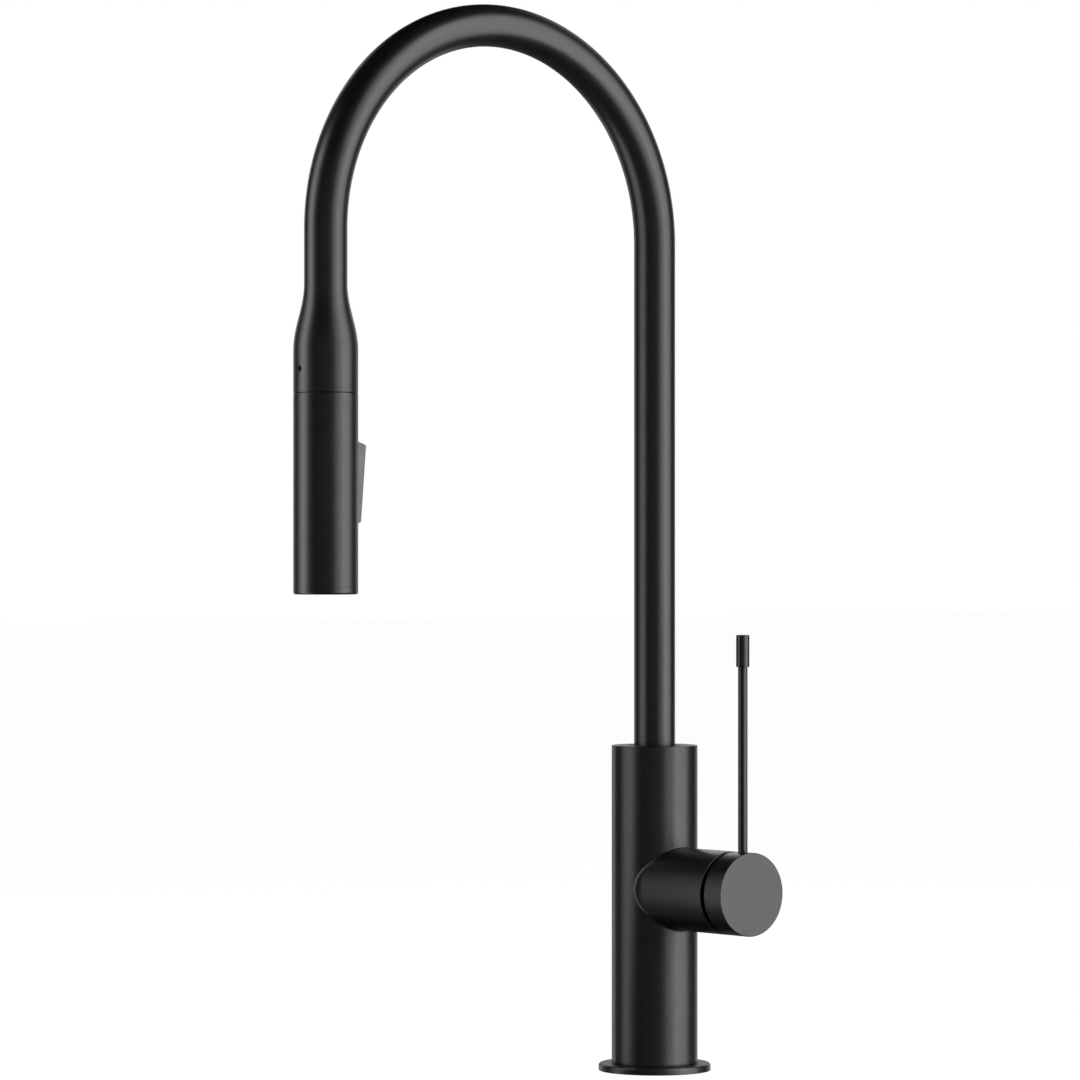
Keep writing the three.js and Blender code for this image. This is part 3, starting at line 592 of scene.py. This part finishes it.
# ---- Spout: one tube that rises, arches, drops and flares into its collar ----
FLARE_TOP = SEAM + 55.4 * MM
FLARE_BOTTOM = SEAM + 21.4 * MM
COLLAR_BORE = 14.9 * MM
TUBE_BORE = 9.8 * MM
COLLAR_EDGE = 0.15 * MM
ACROSS = Vector((1, 0, 0))
RING = 72
ARCH_STEPS = 120


def on_riser(z, r):
    """A ring of the tube: its centre, the way that points out of the arch, and its radius."""
    return Vector((0, 0, z)), Vector((0, 1, 0)), r


def on_arch(angle, r):
    centre = Vector((0, ARCH_R * (math.cos(angle) - 1), SPRING + ARCH_R * math.sin(angle)))
    return centre, Vector((0, math.cos(angle), math.sin(angle))), r


def on_drop(z, r):
    return Vector((0, HEAD_Y, z)), Vector((0, -1, 0)), r


def along(low_value, high_value, steps):
    return [low_value + (high_value - low_value) * i / steps for i in range(steps + 1)]


def flare_radius(z):
    """The smooth S between the tube and the collar."""
    share = min(1, max(0, (z - FLARE_BOTTOM) / (FLARE_TOP - FLARE_BOTTOM)))
    return TUBE_R + (HEAD_R - TUBE_R) * (1 + math.cos(math.pi * share)) / 2


def tube_outside(foot, angles):
    rings = [on_riser(z, TUBE_R) for z in along(foot, SPRING, 24)[:-1]]
    rings += [on_arch(angle, TUBE_R) for angle in angles]
    rings += [on_drop(z, TUBE_R) for z in along(SPRING, FLARE_TOP, 3)[1:]]
    rings += [on_drop(z, flare_radius(z)) for z in along(FLARE_TOP, FLARE_BOTTOM, 36)[1:]]
    rings += [on_drop(SEAM + 8 * MM, HEAD_R), on_drop(SEAM + 2 * COLLAR_EDGE, HEAD_R)]
    for turn in along(0, math.pi / 2, 5):
        z = SEAM + COLLAR_EDGE * (1 - math.sin(turn))
        rings.append(on_drop(z, HEAD_R - COLLAR_EDGE * (1 - math.cos(turn))))
    return rings


def tube_inside(foot, angles):
    rings = [on_drop(SEAM, COLLAR_BORE + COLLAR_EDGE), on_drop(SEAM + COLLAR_EDGE, COLLAR_BORE)]
    rings += [on_drop(SEAM + 12 * MM, COLLAR_BORE), on_drop(SEAM + 25.4 * MM, COLLAR_BORE)]
    rings += [on_drop(SEAM + 39.4 * MM, TUBE_BORE), on_drop(SPRING - 2 * MM, TUBE_BORE)]
    rings += [on_arch(angle, TUBE_BORE) for angle in reversed(angles[::4])]
    rings += [on_riser(z, TUBE_BORE) for z in reversed(along(foot, SPRING, 4)[:-1])]
    return rings


def spout_tube():
    foot = low("spout_tube").z
    angles = along(0, math.pi, ARCH_STEPS)
    rings = tube_outside(foot, angles) + tube_inside(foot, angles)
    verts, faces = [], []
    for centre, outward, r in rings:
        for angle in along(0, 2 * math.pi, RING)[:-1]:
            verts.append(centre + r * (math.cos(angle) * ACROSS + math.sin(angle) * outward))
    for i in range(len(rings)):
        a, b = i * RING, (i + 1) % len(rings) * RING
        for k in range(RING):
            n = (k + 1) % RING
            faces.append((a + k, b + k, b + n, a + n))
    tube = new_object("gooseneck", verts, faces)
    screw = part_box("collar_grub_screw")
    screw_hole = Matrix.Translation((0, HEAD_Y, (screw[0].z + screw[1].z) / 2)) @ TO_BACK
    carved(tube, drum(1.7, -20, -13, 24, screw_hole))
    return dressed(polished(tube, 38), BLACK, "spout", "matte_black", "spout_tube")


# ---- Base flange ----
def base_flange():
    top, rim = high("base_flange").z / MM, high("base_flange").x / MM
    bottom = 0.02
    groove_in, groove_out, groove_top = 23.7, 27.3, 1.8  # for the seal
    outline = [
        (SHANK_BORE, bottom), (groove_in, bottom), (groove_in, groove_top), (groove_out, groove_top),
        (groove_out, bottom), (rim, bottom, 0.3), (rim, top, 1.6), (BODY_R / MM + 0.6, top, 0.35),
        (BODY_R / MM + 0.3, top + 0.1), (SHANK_BORE, top + 0.1)]
    return dressed(polished(lathe("flange", outline, 128)), BLACK, "mixer", "matte_black", "base_flange")


# ---- Knob and lever ----
def lever_parts():
    rear, face = span("lever_knob", "x")
    rim, rod_r, x = KNOB_R / MM, ROD_R / MM, LEVER_X / MM
    neck = 7.5  # the knob's stub on the cartridge stem
    knob = lathe("knob", [
        (0, rear), (neck, rear, 0.4), (neck, 76, 0.5), (rim - 1.2, 76, 0.8), (rim - 1.2, 65, 0.3),
        (rim, 65, 0.35), (rim, face, 0.45), (0, face)], 128, BRANCH_AXIS)
    on_rod = Matrix.Translation((LEVER_X, 0, BRANCH_Z))
    square, axis = 3.8, BRANCH_Z / MM
    socket = slab((rear - 2, -square, axis - square), (74, square, axis + square))
    carved(knob, socket, drum(rod_r + 0.12, 5, rim + 3, 32, on_rod), drum(2.2, -rim - 3, -2, 32, on_rod))
    dressed(polished(knob, 30), BLACK, "lever", "matte_black", "lever_knob")

    bottom, top = span("lever_rod")
    rod = lathe("rod", [(0, bottom), (rod_r, bottom, 0.3), (rod_r, top, 0.3), (0, top)], 48, shifted(x, 0))
    dressed(polished(rod), BLACK, "lever", "matte_black", "lever_rod")
    tip_bottom, tip_top = span("lever_tip")
    tip_r = half_width("lever_tip") / MM
    centre_r = 0.001  # closes the cap's ends without a vertex on the axis
    tip = lathe("tip_cap", [
        (rod_r + 0.12, tip_bottom, 0.1), (tip_r, tip_bottom, 0.35), (tip_r, tip_top, 0.55),
        (centre_r, tip_top), (centre_r, top + 0.3), (rod_r + 0.12, top + 0.3)], 64, shifted(x, 0))
    dressed(polished(tip), BLACK, "lever", "matte_black", "lever_tip")


def trim_ring():
    inner, outer = 15, half_width("trim_ring", "y") / MM
    bottom, top = span("trim_ring", "x")
    step = top - 1.6
    trim = lathe("gap_ring", [
        (inner, bottom, 0.3), (outer, bottom, 0.3), (outer, step, 0.2), (outer - 0.5, step, 0.2),
        (outer - 0.5, top, 0.4), (inner, top, 0.4)], 96, BRANCH_AXIS)
    return dressed(polished(trim), BLACK_PLASTIC, "mixer", "matte_black", "trim_ring")


# ---- Spray head ----
def head_shell():
    bottom, top = span("head_shell")
    wall, r = 15.2, HEAD_R / MM
    shell = lathe("head_casing", [
        (wall, bottom), (r, bottom, 0.05), (r, bottom + 30), (r, top - 30), (r, top, 0.12), (wall, top, 0.1)],
        128, HEAD_AXIS)
    half, axis, pin = BUTTON_HALF + 0.3, HEAD_Y / MM, ROCKER_PIN.z / MM
    window = slab((-half, axis + 5, pin - 21), (half, axis + 20, pin + 21.9))
    rounded = window.modifiers.new("corners", "BEVEL")
    rounded.width = 1.2 * MM
    rounded.segments = 5
    carved(shell, window)
    return dressed(polished(shell, 30), BLACK, "spray_head", "matte_black", "head_shell")


def face_bezel():
    bottom, top = span("face_bezel")
    joint = low("head_shell").z / MM - 0.1
    inner, step, r = 13.7, 14.9, HEAD_R / MM
    bezel = lathe("head_rim", [
        (inner, bottom, 0.3), (r, bottom, 1.3), (r, joint, 0.05), (step, joint), (step, top), (inner, top)],
        128, HEAD_AXIS)
    return dressed(polished(bezel), BLACK, "spray_head", "matte_black", "face_bezel")


def rocker_outline(pin_to_face):
    """The button seen from its side, in millimetres about its pin, as (outwards, up)."""
    top_out = (high("rocker_button").y - ROCKER_PIN.y) / MM  # it stands proud at its top
    bottom_out = pin_to_face + 0.2  # and lies flush at its bottom
    back, waist = 1.6, 4
    heel, shoulder = (-1.9, -2), (-1.9, 2)
    bottom_arc, top_arc = 20.7, 21.6  # ends that swing clear of the window
    outline = [(out, -math.sqrt(bottom_arc ** 2 - out ** 2)) for out in along(bottom_out, back, 6)]
    outline += [(back, -waist), heel, shoulder, (back, waist)]
    outline += [(out, math.sqrt(top_arc ** 2 - out ** 2)) for out in along(back, top_out, 6)]
    return outline, top_out


def rocker_button():
    outline, top_out = rocker_outline((HEAD_R - ROCKER_PIN.y + HEAD_Y) / MM)
    bm = bmesh.new()
    sides = []
    for x in (-BUTTON_HALF, BUTTON_HALF):
        places = [ROCKER_PIN + Vector((x, out, up)) * MM for out, up in outline]
        sides.append([bm.verts.new(place) for place in places])
    bm.faces.new(sides[0])
    bm.faces.new(reversed(sides[1]))
    for i in range(len(outline)):
        n = (i + 1) % len(outline)
        bm.faces.new((sides[0][i], sides[1][i], sides[1][n], sides[0][n]))
    button = from_bmesh("spray_button", bm)
    # A shallow round finger dish in the upper half
    bm = bmesh.new()
    bmesh.ops.create_uvsphere(bm, u_segments=64, v_segments=48, radius=19.2 * MM)
    bmesh.ops.translate(bm, vec=ROCKER_PIN + Vector((0, top_out + 17, 9.5)) * MM, verts=bm.verts)
    carved(button, from_bmesh("dish", bm))
    polished(button, 34, 0.5, 4)
    return dressed(button, BUTTON_GREY, "rocker", "button_grey", "rocker_button")


JET_RINGS = ((6, 7.8), (10, 11.2))  # how many jets, and how far from the head's axis


def jets():
    """The place of each spray jet on the head's face."""
    for count, radius in JET_RINGS:
        for k in range(count):
            angle = 2 * math.pi * k / count
            yield HEAD_AXIS @ shifted(radius * math.cos(angle), radius * math.sin(angle))


def spray_face():
    inner, outer = 5.6, half_width("nozzle_plate") / MM
    bottom, top = span("nozzle_plate")
    plate = plain_ring("spray_plate", (bottom, top), inner, outer, (0.2, 0.3, 0, 0), HEAD_AXIS, 128)
    carved(plate, merged("holes", [drum(1.1, bottom - 1.2, top + 1.8, 20, jet) for jet in jets()]))
    dressed(polished(plate, 30), BLACK_PLASTIC, "spray_head", "black_plastic", "nozzle_plate")

    tip, top = span("nozzle_mat")
    under, bore, root = top - 1.5, 0.35, top - 0.8
    mat = lathe("silicone_jets", [
        (inner, under, 0.2), (outer, under, 0.2), (outer, top, 0.2), (inner, top, 0.2)], 96, HEAD_AXIS)
    nub = [(bore, tip, 0.1), (0.62, tip, 0.15), (0.85, tip + 1, 0.3), (0.85, root), (bore, root)]
    fused(mat, merged("nubs", [lathe("nub", nub, 20, jet) for jet in jets()]))
    dressed(polished(mat, 34), SILICONE, "spray_head", "silicone", "nozzle_mat")


def aerator():
    """The centre outlet: a short tube with a mesh of two layers of bars."""
    bottom, top = span("aerator")
    bore, outer, throat = 4.1, half_width("aerator") / MM, 2.5
    outlet = lathe("stream_outlet", [
        (bore, bottom, 0.2), (outer, bottom, 0.25), (outer, top, 0.2), (throat, top, 0.2), (throat, top - 5),
        (bore, top - 6)], 64, HEAD_AXIS)
    reach_r, pitch, half, depth = bore + 0.2, 1.1, 0.15, 0.35
    axis = HEAD_Y / MM
    for across, level in ((True, bottom + 0.9), (False, bottom + 1.15)):
        bars = []
        for k in range(-3, 4):
            place = k * pitch
            reach = math.sqrt(reach_r ** 2 - place ** 2)
            a = (-reach, place - half) if across else (place - half, -reach)
            b = (reach, place + half) if across else (place + half, reach)
            bars.append(slab((a[0], axis + a[1], level), (b[0], axis + b[1], level + depth)))
        fused(outlet, merged("bars", bars))
    dressed(polished(outlet, 34), BLACK_PLASTIC, "spray_head", "black_plastic", "aerator")


def head_dock():
    """What shows when the head is pulled out: its spigot and the keeper ring on it."""
    foot, spigot_top = span("head_top")
    top = HEAD_TOP / MM
    plug, shoulder, spigot_r, groove_r = half_width("head_top") / MM, 11.9, 11.5, 10.9
    spigot = lathe("dock_spigot", [
        (DOCK_BORE, foot), (plug, foot), (plug, top, 0.4), (shoulder, top, 0.5), (spigot_r, top + 0.8),
        (spigot_r, top + 4, 0.2), (groove_r, top + 4.4, 0.2), (groove_r, top + 6.4, 0.2),
        (spigot_r, top + 6.8, 0.2), (spigot_r, spigot_top, 0.6), (DOCK_BORE, spigot_top, 0.3)], 96, HEAD_AXIS)
    dressed(polished(spigot), BLACK_PLASTIC, "spray_head", "black_plastic", "head_top")
    keeper = plain_ring("keeper_ring", span("dock_keeper"), DOCK_BORE, 11.4, (0, 0.2, 0.35, 0.35), HEAD_AXIS)
    dressed(polished(keeper), STEEL, "spray_head", "steel", "dock_keeper")


NUT_RIBS = 20
CRIMPS = 3


def hose_fittings():
    """The brass swivel nut and the crimped sleeve at the hose's moving end."""
    bottom, top = span("swivel_nut")
    bore, neck, outer = 5.9, 4.6, 7.0
    nut = lathe("hose_nut", [
        (bore, bottom, 0.2), (outer, bottom, 0.3), (outer, top - 2, 0.3), (6.2, top, 0.4), (neck, top, 0.2),
        (neck, top - 3), (bore, top - 3)], 96, HEAD_AXIS)
    places = [HEAD_AXIS @ turned(NUT_RIBS, k) @ shifted(outer - 0.1, 0) for k in range(NUT_RIBS)]
    fused(nut, merged("ribs", [drum(0.62, bottom + 0.8, top - 3, 12, place, 0.2) for place in places]))
    dressed(polished(nut, 34), BRASS, "hose_end", "brass", "swivel_nut")

    foot, mouth = span("hose_ferrule")
    bore, collar, waist, sleeve, pinch = 2.6, 5.2, 4.2, 6.9, 6.45
    outline = [(bore, foot), (collar, foot, 0.2), (collar, top - 3.3, 0.2), (waist, top - 3.3, 0.2),
               (waist, top + 0.4, 0.2), (sleeve, top + 0.4, 0.4)]
    for z in [top + 4 + k * 4.2 for k in range(CRIMPS)]:
        outline += [(sleeve, z, 0.3), (pinch, z + 0.7, 0.3), (pinch, z + 1.5, 0.3), (sleeve, z + 2.2, 0.3)]
    hose_end = low("hose_drop").z / MM - 0.3
    outline += [(sleeve, mouth, 0.5), (5.6, mouth, 0.3), (5.6, hose_end), (bore, hose_end)]
    sleeve_piece = lathe("crimp_sleeve", outline, 96, HEAD_AXIS)
    dressed(polished(sleeve_piece), STEEL, "hose_end", "steel", "hose_ferrule")


# ---- Braided hose ----
CARRIERS = 12  # strands each way round the hose
LAY = 26 * MM  # length of one turn of a strand
STRAND = 0.32 * MM  # how deep the gaps between strands are
BRAID_STEP = 0.55 * MM


def braid_radius(angle, z, radius):
    """Two sets of strands that pass over and under each other."""
    turn = z / LAY * 2 * math.pi
    a = CARRIERS * (angle - turn) / 2
    b = CARRIERS * (angle + turn) / 2
    over = math.sin(a) * math.sin(b)
    height = abs(math.cos(a)) * (0.5 + 0.5 * over) + abs(math.cos(b)) * (0.5 - 0.5 * over)
    return radius - STRAND * (1 - height)


def braided(name, radius, heights, place, drawn=lambda z: z, around=96):
    """A braided stretch of hose. drawn(z) is where a ring lies when the braid has its true lay."""
    verts, faces = [], []
    for z in heights:
        for angle in along(0, 2 * math.pi, around)[:-1]:
            r = braid_radius(angle, drawn(z), radius)
            verts.append(place @ Vector((r * math.cos(angle), r * math.sin(angle), z)))
    rings = len(heights)
    for i in range(rings - 1):
        for k in range(around):
            n = (k + 1) % around
            faces.append((i * around + k, i * around + n, (i + 1) * around + n, (i + 1) * around + k))
    faces.append(tuple(reversed(range(around))))
    faces.append(tuple(range((rings - 1) * around, rings * around)))
    return new_object(name, verts, faces)


def moving_hose():
    """The stretch that the head draws out. It lies hidden in the neck at rest, and its braid is
    laid out for the pulled length, which is where it shows."""
    top, bottom = high("hose_drop").z, low("hose_drop").z
    travel = next(j["range_m"][1] for j in frame["joints"] if j["name"] == "head_pull")

    def drawn(z):
        t = (top - z) / (top - bottom)
        return z - travel * t * t * (3 - 2 * t)

    # Rings are spaced evenly along the drawn-out length
    heights, next_at = [], drawn(top)
    for z in along(top, bottom, 4000):
        if drawn(z) <= next_at:
            heights.append(z)
            next_at -= BRAID_STEP
    heights[-1] = bottom
    hose = braided("pull_hose", HOSE_R, list(reversed(heights)), HEAD_AXIS, drawn)
    polished(hose, 80)
    hose.data.materials.append(NYLON)
    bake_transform(hose)
    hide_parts("hose_drop")


# ---- Fixing below the worktop ----
THREAD_PITCH = 1.5
THREAD_DEPTH = 0.6
RINGS_PER_TURN = 6


def threaded(name, radius, bore, bottom, top, around=64):
    """A tube in millimetres with a helical thread outside."""
    rings = int((top - bottom) / THREAD_PITCH * RINGS_PER_TURN)
    verts, faces = [], []

    def place(r, k, z):
        angle = 2 * math.pi * k / around
        verts.append((r * MM * math.cos(angle), r * MM * math.sin(angle), z * MM))

    for z in along(bottom, top, rings):
        fade = min(1, (z - bottom) / THREAD_PITCH, (top - z) / THREAD_PITCH)
        for k in range(around):
            share = (z / THREAD_PITCH - k / around) % 1
            place(radius - THREAD_DEPTH * (abs(2 * share - 1) * fade + 1 - fade), k, z)
    for z in (top, bottom):
        for k in range(around):
            place(bore, k, z)
    rows = rings + 3
    for i in range(rows):
        a, b = i * around, (i + 1) % rows * around
        for k in range(around):
            n = (k + 1) % around
            faces.append((a + k, a + n, b + n, b + k))
    return new_object(name, verts, faces)


GRIPS = 24  # grooves round the ring nut
JACKS = 3


def fixing():
    """The shank and what clamps the worktop."""
    bottom, top = span("shank")
    shank = threaded("threaded_shank", half_width("shank") / MM, 14.6, bottom, top)
    dressed(polished(shank, 50), BRASS, "mixer", "brass", "shank")
    soft = plain_ring("rubber_washer", span("deck_washer"), SHANK_BORE, 28, (0.3, 0.6, 0.6, 0.3))
    dressed(polished(soft), RUBBER, "mixer", "rubber", "deck_washer")
    hard = plain_ring("steel_washer", span("clamp_washer"), SHANK_BORE, 28, (0.2, 0.5, 0.3, 0.2))
    dressed(polished(hard), STEEL, "mixer", "steel", "clamp_washer")

    bottom, top = span("shank_nut")
    rim, jack_circle = half_width("shank_nut") / MM, 22
    nut = plain_ring("ring_nut", (bottom, top), SHANK_BORE, rim, (0.3, 0.7, 0.7, 0.3))
    cutters = [drum(1.0, bottom - 1, top + 1, 16, turned(GRIPS, k, 0.5) @ shifted(rim + 0.3, 0))
               for k in range(GRIPS)]
    for k in range(JACKS):
        angle = 2 * math.pi * k / JACKS + math.pi / 6
        hole = shifted(jack_circle * math.cos(angle), jack_circle * math.sin(angle))
        cutters.append(drum(2.7, bottom - 1, top + 1, 24, hole))
    carved(nut, merged("cutters", cutters))
    dressed(polished(nut, 34), BRASS, "mixer", "brass", "shank_nut")


def jack_screws():
    head_r, shaft_r, head_height = 4.2, 2.5, 3.5
    for k in range(JACKS):
        node = f"jack_screw_{k + 1}"
        a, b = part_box(node)
        x, y, bottom, top = (a.x + b.x) / 2 / MM, (a.y + b.y) / 2 / MM, a.z / MM, b.z / MM
        neck = bottom + head_height
        screw = lathe(f"clamp_screw_{k + 1}", [
            (0, bottom), (head_r, bottom, 0.6), (head_r, neck, 0.3), (shaft_r, neck), (shaft_r, top, 0.5),
            (0, top)], 48, shifted(x, y))
        carved(screw, slab((x - 6, y - 0.5, bottom - 1), (x + 6, y + 0.5, bottom + 1.4)))
        dressed(polished(screw, 34), STEEL, "mixer", "steel", node)


def column_hose():
    """The hose's stretch in the column and the connector at its lower end."""
    a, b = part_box("hose_connector")
    foot, top = a.z / MM, b.z / MM
    bore, nose, grip, neck, groove, cup = 3, 7, 8, 6.8, 6.4, 5.6
    connector = lathe("hose_coupling", [
        (bore, foot, 0.3), (nose, foot, 0.3), (grip, foot + 1.2, 0.3), (grip, foot + 10, 0.5),
        (neck, foot + 10, 0.2), (neck, foot + 13, 0.3), (groove, foot + 13.6, 0.2),
        (groove, foot + 14.6, 0.2), (neck, foot + 15.2, 0.3), (neck, top, 0.4), (cup, top, 0.2),
        (cup, foot + 13), (bore, foot + 13)], 64)
    dressed(polished(connector), BRASS, "mixer", "brass", "hose_connector")

    a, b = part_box("hose_riser")
    heights = along(a.z, b.z, int((b.z - a.z) / (0.9 * MM)))
    riser = braided("column_hose", HOSE_R, heights, UPRIGHT, around=72)
    dressed(polished(riser, 80), NYLON, "mixer", "hose_braid", "hose_riser")


# ---- Small fasteners and bearings that show ----
def socket_screw(name, node, radius, length, place, body, hexagon, material):
    """A grub screw with a hexagon socket in its outer end, which lies at local z = 0."""
    screw = lathe(name, [(0, -length), (radius, -length, 0.2), (radius, 0, 0.15), (0, 0)], 40, place)
    carved(screw, drum(hexagon, -min(1.2, length * 0.6), 1, 6, place))
    return dressed(polished(screw, 34), material, body, "steel", node)


def small_screws():
    a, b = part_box("collar_grub_screw")
    place = Matrix.Translation((0, a.y, (a.z + b.z) / 2)) @ TO_FRONT
    socket_screw("collar_screw", "collar_grub_screw", 1.5, (b.y - a.y) / MM, place, "spout", 0.8, OXIDE)
    a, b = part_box("spout_stop_screw")
    place = Matrix.Translation((0, b.y, (a.z + b.z) / 2)) @ TO_BACK
    socket_screw("stop_screw", "spout_stop_screw", 2.5, (b.y - a.y) / MM, place, "mixer", 1.4, OXIDE)
    a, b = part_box("knob_grub_screw")
    place = Matrix.Translation((LEVER_X, 0, a.z)) @ Matrix.Rotation(math.pi, 4, "X")
    socket_screw("knob_screw", "knob_grub_screw", 1.9, (b.z - a.z) / MM, place, "lever", 1.0, STEEL)


def bearings():
    a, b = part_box("spout_bush")
    bush = plain_ring("tube_bearing", (a.z / MM, b.z / MM), 11.15, 14.1, (0.2, 0.2, 0.5, 0.5))
    dressed(polished(bush), BLACK_PLASTIC, "mixer", "black_plastic", "spout_bush")
    a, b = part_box("dock_bush")
    guide = plain_ring("dock_guide", (a.z / MM, b.z / MM), 11.9, 14.6, (0.8, 0.4, 0.2, 0.2), HEAD_AXIS)
    dressed(polished(guide), BLACK_PLASTIC, "spout", "black_plastic", "dock_bush")
    a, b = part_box("dock_magnet")
    magnet = plain_ring("ring_magnet", (a.z / MM, b.z / MM), 8.6, 14.4, (0.4, 0.4, 0.3, 0.3), HEAD_AXIS)
    dressed(polished(magnet), STEEL, "spout", "steel", "dock_magnet")


# ---- CAD nodes whose shape is right keep it and get a finish ----
KEPT = {
    BRASS: ("hot_inlet", "cold_inlet", "mixed_outlet", "cartridge_nut", "cartridge_stem", "spout_sleeve",
            "head_inlet", "diverter_spool"),
    STEEL: ("stem_pin", "rocker_pin"),
    RUBBER: ("base_seal", "cartridge_base_seal", "hose_seal"),
    WHITE_PLASTIC: ("cartridge_base", "disc_carrier", "cartridge_rotor", "cartridge_housing", "thrust_washer",
                    "check_valve", "waterway_core"),
    CERAMIC: ("ceramic_disc_fixed", "ceramic_disc_moving"),
    NYLON: ("hose_arch",),
}


def kept_nodes():
    for material, names in KEPT.items():
        for name in names:
            node = frame["nodes"][name]
            node.data.materials.clear()
            node.data.materials.append(material)
            node.data.shade_smooth()
            node.data.set_sharp_from_angle(angle=math.radians(32))


make_camera()
make_surroundings()
make_lights()
mixer_body()
base_flange()
spout_tube()
trim_ring()
lever_parts()
head_shell()
face_bezel()
rocker_button()
spray_face()
aerator()
head_dock()
hose_fittings()
moving_hose()
fixing()
jack_screws()
column_hose()
small_screws()
bearings()
kept_nodes()
